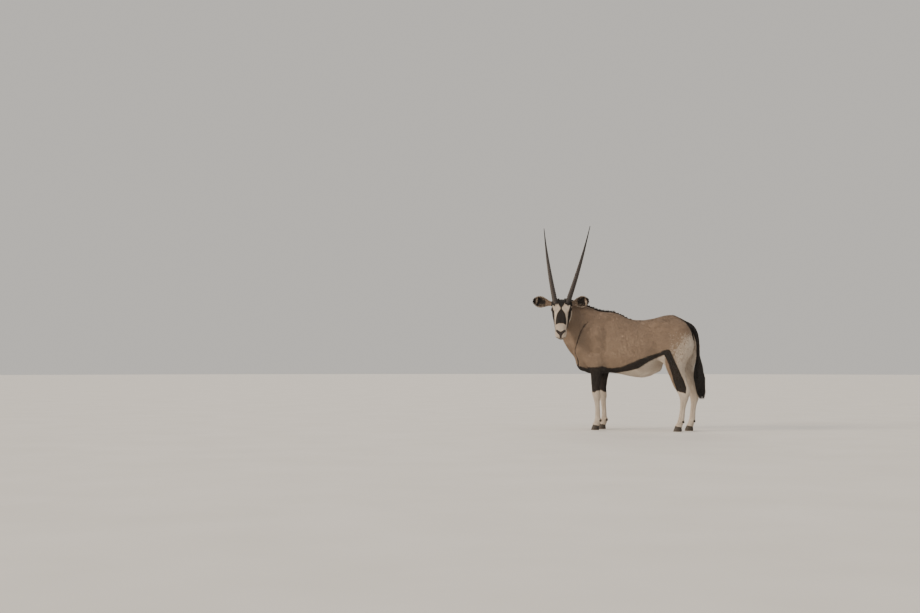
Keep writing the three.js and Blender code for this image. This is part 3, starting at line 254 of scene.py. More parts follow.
class Tube:
    """Sections along a curved axis."""
    def __init__(self, rows, caps, k, sub=5):
        c = np.array([r[0] for r in rows], float); d = np.array([r[1] for r in rows], float)
        w = np.array([r[2] for r in rows]); h = np.array([r[3] for r in rows])
        n = len(rows); ts = np.arange(n)
        m = (n-1)*sub+1
        C = np.stack([self.cr(c[:, j], m) for j in range(3)], 1)
        D = np.stack([np.interp(np.linspace(0, n-1, m), ts, d[:, j]) for j in range(3)], 1)
        self.w, self.h = self.cr(w, m), self.cr(h, m)
        T = np.gradient(C, axis=0); T /= np.linalg.norm(T, axis=1)[:, None]
        D -= (D*T).sum(1)[:, None]*T; D /= np.linalg.norm(D, axis=1)[:, None]
        self.C, self.D, self.L = C, D, np.cross(T, D); self.k = k; self.caps = caps; self.T = T
        R = np.maximum(self.w, self.h)[:, None]
        self.lo, self.hi = (C-R).min(0), (C+R).max(0)
    @staticmethod
    def cr(y, m):
        n = len(y); e = np.concatenate([[2*y[0]-y[1]], y, [2*y[-1]-y[-2]]])
        t = np.linspace(0, n-1, m); i = np.minimum(t.astype(int), n-2); u = t-i
        p0, p1, p2, p3 = e[i], e[i+1], e[i+2], e[i+3]
        return .5*(2*p1+(p2-p0)*u+(2*p0-5*p1+4*p2-p3)*u*u+(3*p1-p0-3*p2+p3)*u**3)
    def __call__(self, P, full=False):
        best = np.full(len(P), 1e9); bi = np.zeros(len(P), int); bt = np.zeros(len(P)); 
        for i in range(len(self.C)-1):
            e = self.C[i+1]-self.C[i]; q = P-self.C[i]
            t = np.clip(q@e/(e@e), 0, 1)
            r = q-t[:, None]*e; d = (r*r).sum(1)
            m = d < best; best[m] = d[m]; bi[m] = i; bt[m] = t[m]
        i, t = bi, bt[:, None]
        c = self.C[i]*(1-t)+self.C[i+1]*t; D = self.D[i]*(1-t)+self.D[i+1]*t; L = self.L[i]*(1-t)+self.L[i+1]*t
        t = bt; w = self.w[i]*(1-t)+self.w[i+1]*t; h = self.h[i]*(1-t)+self.h[i+1]*t
        q = P-c; a = (q*L).sum(1); b = (q*D).sum(1)
        rr = np.sqrt((a/w)**2+(b/h)**2)+1e-9
        m = np.hypot(a, b)
        T = self.T[i]; ax = (q*T).sum(1)
        r = m*(1-1/np.maximum(rr, .05)); r = np.where(rr < .05, -np.minimum(w, h), r)
        # ends: round them
        end = ((bi == 0) & (bt <= 0)) | ((bi == len(self.C)-2) & (bt >= 1))
        cl = np.minimum(w, h)*self.caps
        rr3 = np.sqrt(rr**2+(ax/cl)**2)
        m3 = np.sqrt(m*m+ax*ax)
        r = np.where(end, m3*(1-1/np.maximum(rr3, .05)), r)
        if full: return r, bi+bt, a, b
        return r

class Cone:
    """Round cone from a to b, squeezed by f along n."""
    def __init__(self, a, ra, b, rb, k, n=None, f=1.0):
        self.a, self.ra, self.b, self.rb, self.k, self.f = V(*a), ra, V(*b), rb, k, f
        self.n = None if n is None else V(*n)/np.linalg.norm(n)
        R = max(ra, rb); self.lo, self.hi = np.minimum(self.a, self.b)-R, np.maximum(self.a, self.b)+R
    def __call__(self, P):
        q = P-self.a; e = self.b-self.a
        if self.n is not None:
            # squeeze about the axis line
            en = e-(e@self.n)*self.n
            qn = q@self.n - (e@self.n)*np.clip(q@en/max(en@en, 1e-9), 0, 1)
            q = q+((1/self.f-1)*qn)[:, None]*self.n
        t = np.clip(q@e/(e@e), 0, 1)
        d = np.linalg.norm(q-t[:, None]*e, axis=1)-(self.ra+(self.rb-self.ra)*t)
        return d*(self.f+1)/2

class Ell:
    def __init__(self, c, r, k, R=None):
        self.c, self.r, self.k = V(*c), V(*r), k
        self.R = np.eye(3) if R is None else np.array(R, float)   # rows are the axes
        m = np.abs(self.R.T)@self.r
        self.lo, self.hi = self.c-m, self.c+m
    def __call__(self, P):
        q = (P-self.c)@self.R.T
        k0 = np.linalg.norm(q/self.r, axis=1); k1 = np.linalg.norm(q/self.r**2, axis=1)+1e-9
        return k0*(k0-1)/k1

def rot(ax, deg):
    a = np.array(ax, float); a /= np.linalg.norm(a); t = math.radians(deg); c, s = math.cos(t), math.sin(t); x, y, z = a
    return np.array([[c+x*x*(1-c), x*y*(1-c)-z*s, x*z*(1-c)+y*s], [y*x*(1-c)+z*s, c+y*y*(1-c), y*z*(1-c)-x*s], [z*x*(1-c)-y*s, z*y*(1-c)+x*s, c+z*z*(1-c)]])

def leg(rows, side, dx, k, caps=(0.0, .05), n=2.2):
    out = []
    for z, xf, xr, y, w in rows:
        o = np.interp(z, [a for a, _ in dx], [b for _, b in dx]) if dx else 0
        xc = xf+(xr-xf)*.45
        out.append((z, xc+o, side*y, xc-xf, xr-xc, w))
    # slab: slice axis Z, A = X (front is -X), B = Y
    tab = [(z, side_y, xc, w, hr, hf, n, n) for z, xc, side_y, hf, hr, w in out]
    return Slab((0, 0, 0), (0, 0, 1), (0, 1, 0), (1, 0, 0), tab, caps, k)

DEW = []


def body_parts():
    parts = [('trunk', Slab((0, 0, 0), (1, 0, 0), (0, 1, 0), (0, 0, 1), [(x, 0, zc, w, zt-zc, zc-zb, nu, nd) for x, zt, zb, zc, w, nu, nd in TRUNK], (.03, .03), .06)),
             ('neck', Slab(NO, NS, NA, NB, [(t, ca, (b+h)/2-.02, w, (h-b)/2+.02, (h-b)/2-.02, 1.9, 2.0) for t, ca, b, h, w in NECK], (.06, .05), .08))]
    for sd in (-1, 1):
        parts += [('scap', Cone((-.345, sd*.075, 1.115), .050, (-.575, sd*.135, .81), .075, .05, (0, 1, 0), .75)),
                  ('arm', Cone((-.575, sd*.140, .80), .070, (-.43, sd*.132, .66), .062, .04, (0, 1, 0), .9)),
                  ('tricep', Cone((-.40, sd*.128, .93), .090, (-.375, sd*.130, .70), .058, .05, (0, 1, 0), .8)),
                  ('pec', Ell((-.585, sd*.060, .70), (.068, .062, .110), .05)),
                  ('hip', Ell((.230, sd*.128, 1.046), (.050, .030, .038), .09)),
                  ('flank', Cone((.10, sd*.165, .82), .05, (.26, sd*.152, .74), .045, .06, (0, 1, 0), .6)),
                  ('fore', leg(FORE, sd, FORE_FAR_DX if sd > 0 else None, .045)),
                  ('hind', leg(HIND, sd, HIND_FAR_DX if sd > 0 else None, .05))]
    for sd in (-1, 1):
        for rows, back in ((FORE, FORE_FAR_DX), (HIND, HIND_FAR_DX)):
            r = sorted((q[0], q[2]) for q in rows)
            rear = np.interp(.098, [q[0] for q in r], [q[1] for q in r])+(np.interp(.1, [q[0] for q in back], [q[1] for q in back]) if sd > 0 else 0)
            for o in (-1, 1):
                DEW.append((V(rear-.010, sd*.103+o*.014, .106), V(rear+.004, sd*.103+o*.017, .088)))
                parts.append(('dew', Cone((rear-.010, sd*.103+o*.014, .106), .010, (rear-.002, sd*.103+o*.016, .090), .0065, .008)))
    parts += [('udder', Ell((.140, 0, .640), (.085, .085, .075), .045))]
    for tx, tz in ((.108, .566), (.190, .602)):
        for sd in (-1, 1):
            parts.append(('teat', Cone((tx, sd*.030, tz+.02), .010, (tx+.002, sd*.032, tz-.014), .0062, .012)))
    parts.append(('tail', Tube([(c, (1, 0, .3), hy, hx) for c, hx, hy in TAIL], 1.0, .03)))
    return parts


def head_parts():
    out = [('skull', Slab(HP, HF, HL, HU, [(s, 0, c, w, t-c, c-b, nu, nd) for s, t, b, c, w, nu, nd in HEAD], (.02, .02), .03))]
    for sd in (-1, 1):
        out += [('orbit', Ell(hp(.100, sd*.074, -.030), (.036, .024, .026), .03, HR)),
                ('pedicle', Ell(hp(.034, sd*.056, -.022), (.040, .036, .026), .03, HR)),
                ('cheek', Ell(hp(.120, sd*.056, -.110), (.070, .030, .060), .03, HR)),
                ('earbase', Ell(hp(.015, sd*.082, -.062), (.026, .026, .026), .03, HR)),
                ('nostril', Ell(hp(.368, sd*.032, -.024), (.022, .020, .016), .015, HR)),
                ('lip', Ell(hp(.385, sd*.026, -.066), (.030, .020, .020), .015, HR))]
    out += [('chin', Ell(hp(.385, 0, -.100), (.030, .030, .016), .015, HR))]
    return out


def union(parts, P, far=.25):
    d = np.full(len(P), far)
    for name, f in parts:
        pad = .08
        m = np.all((P > f.lo-pad) & (P < f.hi+pad), axis=1)
        if m.any():
            d[m] = smin(d[m], f(P[m]), f.k)
    return d


EAR_OUT = [(0, .105), (.12, .110), (.28, .165), (.45, .245), (.62, .295), (.76, .275), (.88, .190), (.96, .115), (1, .045)]


class Ear:
    """A cupped leaf: a runs along it, b across, c out of the cup."""
    def __init__(self, sd, L, s=.030, l=.086, u=-.048, tilt=9, fwd=0.12, thick=.0060, cup=.62):
        self.root = hp(s, sd*l, u); t = math.radians(tilt); self.L = L
        A = HL*sd*math.cos(t)+V(0, 0, 1)*math.sin(t)+HB*fwd; A /= np.linalg.norm(A)
        C = HB+V(0, 0, -.15); C = C-(C@A)*A; C /= np.linalg.norm(C)
        self.A, self.C, self.B = A, C, np.cross(C, A)
        self.t, self.w = hermite_lut([a for a, _ in EAR_OUT], [b*.190 for _, b in EAR_OUT])
        self.k = .022; self.thick = thick; self.cup = cup
        tip = self.root+A*L; self.lo, self.hi = np.minimum(self.root, tip)-.075, np.maximum(self.root, tip)+.075

    def local(self, P):
        q = P-self.root; return q@self.A, q@self.B, q@self.C

    def mid(self, a, b):
        u = np.clip(a/self.L, 0, 1); W = np.interp(u, self.t, self.w)-.0010
        deep = self.cup*W
        x = np.minimum(np.abs(b)/W, 1.3)
        return deep*(x*x-1)+.010-.012*u, u, W, deep, x

    def __call__(self, P):
        a, b, c = self.local(P)
        mid, u, W, deep, x = self.mid(a, b)
        ridge = .0016*np.cos(b/W*9.5)*np.clip((c-mid)/.004, 0, 1)*np.clip(u*4, 0, 1)*np.clip((.86-u)*5, 0, 1)*(x < .9)
        g = 1/np.sqrt(1+(2*deep*x/W)**2)
        half = self.thick/2*(1+4*np.maximum(0, .3-u))*(1-.35*np.minimum(x, 1)**2)
        sheet = np.abs(c-mid)*g-half-ridge
        rim = np.maximum((np.abs(b)-W)*.75, np.maximum(-a, a-self.L+.001))
        r = self.thick*.40; x1, x2 = sheet+r, rim+r
        return np.hypot(np.maximum(x1, 0), np.maximum(x2, 0))-r+np.minimum(np.maximum(x1, x2), 0)


FORE_FAR_DX = [(0, .010), (.1, .006), (.3, .0)]
BODY, HEADP = body_parts(), head_parts()
EARS = {1: Ear(1, .190), -1: Ear(-1, .205)}      # the head's left and right
EYE_R, EYE_S, EYE_L, EYE_U = .0195, .103, .0815, -.036
EYES = {}
for sd in (-1, 1):
    out_ = unit(.88*sd*HL+.44*HU+.06*HF)         # the way the eye looks
    lng = unit(HF*.93+HU*.30-(HF*.93+HU*.30)@out_*out_)   # along the lids, to the inner corner
    EYES[sd] = (hp(EYE_S, sd*EYE_L, EYE_U), out_, lng, np.cross(out_, lng)*(-sd))   # last: up from the lids' line


def gauss(v, w): return np.exp(-(v/w)**2)


CREASE = np.array([(-.420, -.110, 1.150), (-.470, -.145, 1.105), (-.504, -.157, 1.082), (-.545, -.172, 1.030), (-.571, -.179, .981), (-.612, -.182, .871), (-.633, -.184, .781), (-.630, -.150, .715), (-.612, -.090, .650), (-.585, -.030, .600)])


def to_line(P, pts):
    """Distance to a polyline and the place along it, from 0 to 1."""
    best = np.full(len(P), 9.0); at = np.zeros(len(P)); n = len(pts)-1
    for i in range(n):
        e = pts[i+1]-pts[i]; q = P-pts[i]
        t = np.clip(q@e/(e@e), 0, 1); d = np.linalg.norm(q-t[:, None]*e, axis=1)
        m = d < best; best[m] = d[m]; at[m] = (i+t[m])/n
    return best, at


def head_uv(P):
    q = P-HP; return q@HF, q@HL, q@HU


def head_weight(P):
    """1 on the head, 0 on the neck, soft between."""
    n = .542*HF+.840*HU
    d = (P-hp(.12, 0, -.19))@n
    return np.clip(d/.05+.5, 0, 1)*(P[:, 2] > .86)*np.clip((.120-np.abs((P-HP)@HL))/.014, 0, 1)


def neck_uv(P):
    q = P-NO; return q@NS, q@NA, q@NB


MOUTH_S, MOUTH_U = [.30, .325, .36, .39, .42], [-.082, -.079, -.074, -.069, -.064]


def relief(P):
    """What the skin adds to (+) or takes from (-) the plain form."""
    x, y, z = P.T; ay = np.abs(y); g = np.zeros(len(P))
    # tendon hollow before the hock's cord
    for sd in (-1, 1):
        m = (y*sd > .03) & (z > .36) & (z < .62) & (x > .3)
        if m.any():
            q = P[m]; dx = np.interp(q[:, 2], [a for a, _ in HIND_FAR_DX], [b for _, b in HIND_FAR_DX]) if sd > 0 else 0
            rear = np.interp(q[:, 2], [.36, .40, .44, .48, .54, .60], [.522, .528, .520, .508, .492, .479])+dx
            g[m] -= .0075*gauss(q[:, 0]-(rear-.030), .013)*np.clip((q[:, 2]-.375)/.05, 0, 1)*np.clip((.60-q[:, 2])/.10, 0, 1)*np.clip(np.abs(np.abs(q[:, 1])-.108)/.02, 0, 1)
        # grooves between cannon bone and tendons
        for rows, back, x0 in ((HIND, HIND_FAR_DX, .3), (FORE, FORE_FAR_DX, -.6)):
            m = (y*sd > .03) & (z > .12) & (z < .33) & (x > x0) & (x < x0+.4)
            if m.any():
                q = P[m]; r = sorted(rows); zz = [v[0] for v in r]
                dx = np.interp(q[:, 2], [a for a, _ in back], [b for _, b in back]) if sd > 0 else 0
                f = np.interp(q[:, 2], zz, [v[1] for v in r])+dx; b = np.interp(q[:, 2], zz, [v[2] for v in r])+dx
                g[m] -= .0032*gauss(q[:, 0]-(f+(b-f)*.62), .006)*np.clip((q[:, 2]-.12)/.04, 0, 1)*np.clip((.33-q[:, 2])/.03, 0, 1)
    # faint ribs behind the shoulder
    g += .0011*np.cos((x+.32*z)*2*math.pi/.046)*np.clip((x+.24)/.08, 0, 1)*np.clip((.14-x)/.1, 0, 1)*np.clip((z-.64)/.08, 0, 1)*np.clip((1.0-z)/.12, 0, 1)
    # shoulder: edge of the blade, and the line between upper arm and triceps
    m = (x < -.2) & (x > -.62) & (z > .62) & (z < 1.12)
    if m.any():
        q = P[m]; qy = np.c_[q[:, 0], np.abs(q[:, 1]), q[:, 2]]
        d, t = to_line(qy*[1, .4, 1], np.array([(-.34, .05, 1.06), (-.300, .07, .95), (-.305, .07, .82), (-.35, .06, .70)]))
        g[m] -= .0045*gauss(d, .020)*np.sin(np.clip(t, 0, 1)*math.pi)
        d, t = to_line(qy*[1, .4, 1], np.array([(-.44, .05, .98), (-.47, .07, .86), (-.455, .07, .76), (-.42, .06, .66)]))
        g[m] -= .0040*gauss(d, .016)*np.sin(np.clip(t, 0, 1)*math.pi)
    # neck's base fold on the near side, deep below and shallow above
    m = (x < -.3) & (z > .56) & (y < .05)
    if m.any():
        d, t = to_line(P[m], CREASE); g[m] -= (.003+.009*np.clip(t*1.6, 0, 1))*gauss(d, .017)*np.clip(t*6, 0, 1)*np.clip((1-t)*5, 0, 1)
    # thigh: the line before the buttock muscle, and the fold above the stifle
    m = (x > .15) & (z > .55) & (z < 1.0)
    if m.any():
        q = P[m]; qy = np.c_[q[:, 0], np.abs(q[:, 1]), q[:, 2]]
        d, t = to_line(qy*[1, .3, 1], np.array([(.440, .03, 1.00), (.455, .03, .86), (.445, .03, .72), (.43, .03, .60)]))
        g[m] -= .0050*gauss(d, .020)*np.sin(np.clip(t, 0, 1)*math.pi)
        d, t = to_line(qy*[1, .3, 1], np.array([(.205, .05, .90), (.235, .05, .82), (.245, .05, .76)]))
        g[m] -= .0045*gauss(d, .016)*np.sin(np.clip(t, 0, 1)*math.pi)
    # cleft of the udder
    m = (x > .06) & (x < .24) & (z < .64)
    g[m] -= .006*gauss(y[m], .009)*np.clip((.63-z[m])/.03, 0, 1)
    # neck: groove of the vein along the throat, on both sides
    s, a, b = neck_uv(P); m = (s > .02) & (s < .5)
    if m.any():
        thr = np.interp(s[m], [0, .12, .22, .32, .42, .5], [-.275, -.293, -.282, -.252, -.205, -.152])
        g[m] -= .0035*gauss(b[m]-(thr+.085), .018)*np.clip((np.abs(a[m])-.03)/.03, 0, 1)*np.sin(np.clip((s[m]-.02)/.48, 0, 1)*math.pi)
    hw = head_weight(P); m = hw > 0
    if m.any():
        s, l, u = head_uv(P[m]); al = np.abs(l); h = np.zeros(len(s))
        # facial crest under the eye and the hollows above and below it
        q = np.c_[s, al, u]
        d, t = to_line(q, np.array([(.115, .090, -.068), (.160, .082, -.074), (.215, .070, -.072), (.265, .062, -.070)]))
        h += .0038*gauss(d, .012)*np.clip((1-t)*2.5, 0, 1)
        d, t = to_line(q, np.array([(.150, .084, -.042), (.215, .066, -.036), (.285, .056, -.036)]))
        h -= .0036*gauss(d, .015)*np.sin(np.clip(t*.9+.1, 0, 1)*math.pi)
        d, t = to_line(q, np.array([(.200, .068, -.100), (.260, .060, -.094), (.320, .054, -.090)]))
        h -= .0034*gauss(d, .014)*np.sin(np.clip(t*.9+.05, 0, 1)*math.pi)
        # temple behind the eye, brow over it
        d, t = to_line(q, np.array([(.060, .088, -.075), (.085, .095, -.078)])); h -= .0030*gauss(d, .013)
        d, t = to_line(q, np.array([(.072, .070, -.012), (.098, .081, -.008), (.122, .080, -.016)])); h += .0026*gauss(d, .010)
        # bridge of the nose: flat between two low edges
        h += .0014*gauss(al-.030, .008)*np.clip((s-.13)/.05, 0, 1)*np.clip((.34-s)/.05, 0, 1)*(u > -.04)
        h -= .0012*gauss(al, .010)*np.clip((s-.13)/.05, 0, 1)*np.clip((.36-s)/.05, 0, 1)*(u > -.04)
        # mouth: a line from the front back along both sides
        mu = np.interp(s, MOUTH_S, MOUTH_U)
        h -= .0046*gauss(u-mu, .0026)*np.clip((s-.318)/.012, 0, 1)
        h += .0016*gauss(u-mu-.009, .005)*np.clip((s-.325)/.03, 0, 1)+.0014*gauss(u-mu+.008, .005)*np.clip((s-.325)/.03, 0, 1)
        # nostrils: a slit that runs outward and up, with a raised wing
        q = np.c_[s, al, u]
        d, t = to_line(q, np.array([(.392, .0125, -.017), (.383, .0235, -.013), (.371, .0350, -.019), (.357, .0450, -.029)]))
        h -= .0130*gauss(d, .0052)*np.clip((1.02-t)*2.2, 0, 1)
        d, t = to_line(q, np.array([(.372, .0200, -.011), (.361, .0320, -.014), (.350, .0420, -.020)])); h += .0024*gauss(d, .0055)
        d, t = to_line(q, np.array([(.398, .0260, -.018), (.386, .0380, -.024), (.372, .0480, -.036)])); h += .0016*gauss(d, .0050)
        d, t = to_line(q, np.array([(.420, .0060, -.058), (.428, .0, -.045)])); h += .0008*gauss(d, .006)
        h -= .0022*gauss(al, .0020)*np.clip((s-.385)/.02, 0, 1)*np.clip((u+.080)/.01, 0, 1)*(u < -.025)
        # whisker pad and chin
        d, t = to_line(q, np.array([(.355, .050, -.060), (.380, .044, -.060)])); h += .0020*gauss(d, .013)
        g[m] += h*hw[m]
        # eyes: brow groove round the lids
        for sd in (-1, 1):
            c, o, lg, up = EYES[sd]; qq = P[m]-c; r = np.linalg.norm(qq, axis=1)
            k = r < .06
            if k.any():
                dd = qq[k]/np.maximum(r[k], 1e-6)[:, None]; uu = np.arctan2(dd@lg, dd@o); vv = np.arctan2(dd@up, dd@o)
                e = np.sqrt((uu/1.18)**2+(vv/np.where(vv > 0, .92, .86))**2)
                gm = np.where(m)[0][k]
                g[gm] -= .0020*gauss(e-1, .13)*(dd@o > -.1)*np.where(vv > 0, 1.0, .6)
    return g


def coat_depth(P):
    """How far the skin lies inside the outline of the coat."""
    x, y, z = P.T
    d = np.interp(z, [0, .05, .09, .30, .45, .62, .75], [.0005, .0010, .0024, .0030, .0036, .0045, .0055])
    hw = head_weight(P); s, l, u = head_uv(P)
    d = d*(1-hw)+hw*np.interp(s, [0, .1, .3, .38, .42], [.0034, .0024, .0020, .0010, .0008])
    s, a, b = neck_uv(P)
    top = np.interp(s, [-.06, .03, .12, .22, .32, .42, .5, .57], [.290, .290, .268, .236, .200, .150, .105, .070])
    d += (1-hw)*.013*gauss(a-np.interp(s, [.03, .3, .6], [.0, -.004, .0]), .020)*np.clip((b-top+.045)/.03, 0, 1)*np.clip((s+.02)/.10, 0, 1)*np.clip((.60-s)/.1, 0, 1)
    m = (x > .47) & (z < 1.05) & (z > .6) & (np.abs(y) < .05)
    d[m] = np.maximum(d[m], np.clip((x[m]-.50)/.04, 0, 1)*.0045)
    return d


CORONET, SLOPE = .052, .22
FEET = []                                        # toe x, heel x, y of every foot
for rows, back in ((HIND, HIND_FAR_DX), (FORE, FORE_FAR_DX)):
    for sd in (-1, 1):
        dx = np.interp(.03, [a for a, _ in back], [b for _, b in back]) if sd > 0 else 0
        FEET.append((rows[-1][1]+dx-.004, rows[-1][2]+dx-.003, sd*rows[-1][3], sd))


def skin(P):
    """Signed distance of the skin."""
    x, y, z = P.T
    b = union(BODY, P)
    he = union(HEADP, P)
    near = (z > 1.10) & (x < -.30)
    ears = np.full(len(P), .3)
    if near.any():
        for sd, e in EARS.items():
            m = near & np.all((P > e.lo-.03) & (P < e.hi+.03), axis=1)
            if m.any(): ears[m] = np.minimum(ears[m], e(P[m]))
    w = smin(b, he, .03)+coat_depth(P)-relief(P)
    w = smin(w, ears, .020)
    # the skin stops at the hooves' upper edge
    low = z < .1
    if low.any():
        q = P[low]; cut = np.full(len(q), -1.0)
        for toe, heel, fy, sd in FEET:
            k = (np.abs(q[:, 0]-(toe+heel)/2) < .09) & (np.abs(q[:, 1]-fy) < .06)
            cut[k] = (CORONET-.0015-SLOPE*(q[k, 0]-(toe+heel)/2)-q[k, 2])
        w[low] = smax(w[low], cut, .004)
    # lids: a shell round each ball, open in an almond
    for sd, (c, o, lg, up) in EYES.items():
        q = P-c; m = np.all(np.abs(q) < .05, axis=1)
        if m.any():
            q = q[m]; r = np.linalg.norm(q, axis=1); d = q/np.maximum(r, 1e-6)[:, None]
            shell = r-(EYE_R+.0034)
            v = smin(w[m], shell, .008)
            uu = np.arctan2(d@lg, np.maximum(d@o, 1e-3)); vv = np.arctan2(d@up, np.maximum(d@o, 1e-3))
            U, Vv = .96, np.where(vv > 0, .56, .44)
            k = np.sqrt(np.maximum(1-(np.minimum(np.abs(uu)/U, 1))**1.7, 0))
            gap = np.abs(vv)-Vv*k; gap = np.where(np.abs(uu) > U, np.hypot(gap, np.abs(uu)-U), gap)
            gap = np.where(d@o > .1, gap, 1.0)*r
            v = smax(v, -gap, .0022)
            w[m] = np.maximum(v, (EYE_R+.0002)-r)
    return w


def slope(P, fn=skin, e=1.2e-3):
    g = np.stack([fn(P+e*np.eye(3)[i])-fn(P-e*np.eye(3)[i]) for i in range(3)], 1)/(2*e)
    return g
# ---------------------------------------------------------------- meshing
def mesh_field(fn, lo, hi, h, B=8):
    """Surface nets of fn's zero level over a box, evaluated only in blocks near it."""
    lo = np.asarray(lo, float); n = np.ceil((np.asarray(hi)-lo)/h/B).astype(int)*B+1
    nb = (n-1)//B
    g = np.stack(np.meshgrid(*[lo[i]+(np.arange(nb[i])+.5)*B*h for i in range(3)], indexing='ij'), -1).reshape(-1, 3)
    v = fn(g)
    act = np.abs(v) < B*h*.87*1.5
    F = np.repeat(np.repeat(np.repeat(v.reshape(nb), B, 0), B, 1), B, 2)
    F = np.pad(F, ((0, 1),)*3, mode='edge').astype(np.float32)
    ids = np.stack(np.unravel_index(np.nonzero(act)[0], nb), 1)
    off = np.stack(np.meshgrid(*[np.arange(B+1)]*3, indexing='ij'), -1).reshape(-1, 3)
    mask = np.zeros(n, bool)
    for c in range(0, len(ids), 4096):
        k = (ids[c:c+4096, None]*B+off).reshape(-1, 3)
        mask[k[:, 0], k[:, 1], k[:, 2]] = True
    idx = np.argwhere(mask)
    val = np.empty(len(idx), np.float32)
    for c in range(0, len(idx), 400000):
        val[c:c+400000] = fn(lo+idx[c:c+400000]*h)
    F[mask] = val
    F[0], F[-1], F[:, 0], F[:, -1], F[:, :, 0], F[:, :, -1] = [1.0]*6
    return surface_nets(F, lo, h)

def surface_nets(F, lo, h):
    n = np.array(F.shape); s = F < 0
    cn = n-1
    cell_sum = np.zeros((np.prod(cn), 3)); cnt = np.zeros(np.prod(cn))
    quads = []
    cs = np.array([cn[1]*cn[2], cn[2], 1])
    for ax in range(3):
        sl0 = [slice(None)]*3; sl1 = [slice(None)]*3
        sl0[ax] = slice(0, -1); sl1[ax] = slice(1, None)
        a, b = s[tuple(sl0)], s[tuple(sl1)]
        e = np.argwhere(a != b)
        u, v = [(ax+1) % 3, (ax+2) % 3]
        ok = (e[:, u] > 0) & (e[:, v] > 0) & (e[:, u] < n[u]-1) & (e[:, v] < n[v]-1)
        e = e[ok]
        e2 = e.copy(); e2[:, ax] += 1
        f0 = F[e[:, 0], e[:, 1], e[:, 2]].astype(float); f1 = F[e2[:, 0], e2[:, 1], e2[:, 2]].astype(float)
        t = f0/(f0-f1); p = e.astype(float); p[:, ax] += t
        du, dv = np.zeros(3, int), np.zeros(3, int); du[u] = 1; dv[v] = 1
        c = [e-du-dv, e-dv, e, e-du]
        li = [x@cs for x in c]
        for l in li:
            for j in range(3): cell_sum[:, j] += np.bincount(l, weights=p[:, j], minlength=len(cnt))
            cnt += np.bincount(l, minlength=len(cnt))
        q = np.stack(li, 1)
        flip = ~(f0 < 0)
        q[flip] = q[flip][:, ::-1]
        quads.append(q)
    quads = np.concatenate(quads)
    used, inv = np.unique(quads, return_inverse=True)
    verts = cell_sum[used]/cnt[used][:, None]*h+lo
    return verts, inv.reshape(-1, 4)

def project(fn, v, it=2, e=1.5e-3, cap=None):
    """Moves the points onto the surface."""
    f = fn(v); g = np.stack([(fn(v+e*np.eye(3)[i])-f)/e for i in range(3)], 1); gg = np.maximum((g*g).sum(1), .05)
    for i in range(it):
        if i: f = fn(v)
        st = (f/gg)[:, None]*g
        if cap:
            l = np.linalg.norm(st, axis=1, keepdims=True); st *= np.minimum(1, cap/np.maximum(l, 1e-9))
        v = v-st
    return v




def tris_of(q):
    return np.concatenate([q[:, [0, 1, 2]], q[:, [0, 2, 3]]])


def decimated(name, v, f, target):
    """Blender's collapse, down to a number of triangles. Returns arrays."""
    me = bpy.data.meshes.new(name); me.from_pydata(v.tolist(), [], f.tolist()); ob = bpy.data.objects.new(name, me)
    bpy.context.scene.collection.objects.link(ob)
    tris = len(f)*(2 if f.shape[1] == 4 else 1)
    mod = ob.modifiers.new("d", "DECIMATE"); mod.ratio = min(1.0, target/tris); mod.use_collapse_triangulate = True
    ev = ob.evaluated_get(bpy.context.evaluated_depsgraph_get()).to_mesh()
    ev.calc_loop_triangles()
    n = len(ev.vertices); co = np.empty(n*3, np.float32); ev.vertices.foreach_get("co", co)
    t = np.empty(len(ev.loop_triangles)*3, np.int32); ev.loop_triangles.foreach_get("vertices", t)
    bpy.data.objects.remove(ob); bpy.data.meshes.remove(me)
    return co.reshape(-1, 3).astype(float), t.reshape(-1, 3).astype(int)


def cut(v, f, p, n):
    """Keeps the part of a triangle mesh on the side of a plane that n points to."""
    d = (v-p)@n; d = np.where(np.abs(d) < 1e-7, 1e-7, d); inside = d > 0
    k = inside[f].sum(1); keep = f[k == 3]; cross_ = f[(k == 1) | (k == 2)]; kk = k[(k == 1) | (k == 2)]
    new = {}; extra = []; out = []
    base = len(v)

    def point(a, b):
        key = (min(a, b), max(a, b))
        if key not in new:
            t = d[a]/(d[a]-d[b]); new[key] = base+len(extra); extra.append(v[a]+(v[b]-v[a])*t)
        return new[key]
    for t, c in zip(cross_, kk):
        t = list(map(int, t)); s = [bool(inside[i]) for i in t]
        while not (s[0] and not s[2]) if c == 2 else not s[0]:
            t = t[1:]+t[:1]; s = s[1:]+s[:1]
            if c == 2 and s[0] and s[1] and not s[2]: break
        if c == 1: out.append([t[0], point(t[0], t[1]), point(t[0], t[2])])
        else:
            while not (s[0] and s[1] and not s[2]): t = t[1:]+t[:1]; s = s[1:]+s[:1]
            x, w = point(t[1], t[2]), point(t[0], t[2])
            out.append([t[0], t[1], x]); out.append([t[0], x, w])
    v2 = np.concatenate([v, np.array(extra).reshape(-1, 3)]); f2 = np.concatenate([keep, np.array(out, int).reshape(-1, 3)])
    used, inv = np.unique(f2, return_inverse=True)
    return v2[used], inv.reshape(-1, 3)


def rims(f):
    """The open edges of a triangle mesh, as closed loops of vertices in the faces' own direction."""
    e = np.concatenate([f[:, [0, 1]], f[:, [1, 2]], f[:, [2, 0]]])
    m = int(f.max())+1; code = e[:, 0]*m+e[:, 1]; rev = e[:, 1]*m+e[:, 0]
    o = e[~np.isin(code, rev)]
    nxt = {}
    for a, b in o: nxt.setdefault(int(a), []).append(int(b))
    loops = []
    while nxt:
        a = next(iter(nxt)); lp = [a]; cur = a
        while True:
            if cur not in nxt: break
            b = nxt[cur].pop()
            if not nxt[cur]: del nxt[cur]
            if b == lp[0]: break
            lp.append(b); cur = b
        if len(lp) > 5: loops.append(lp)
    return loops


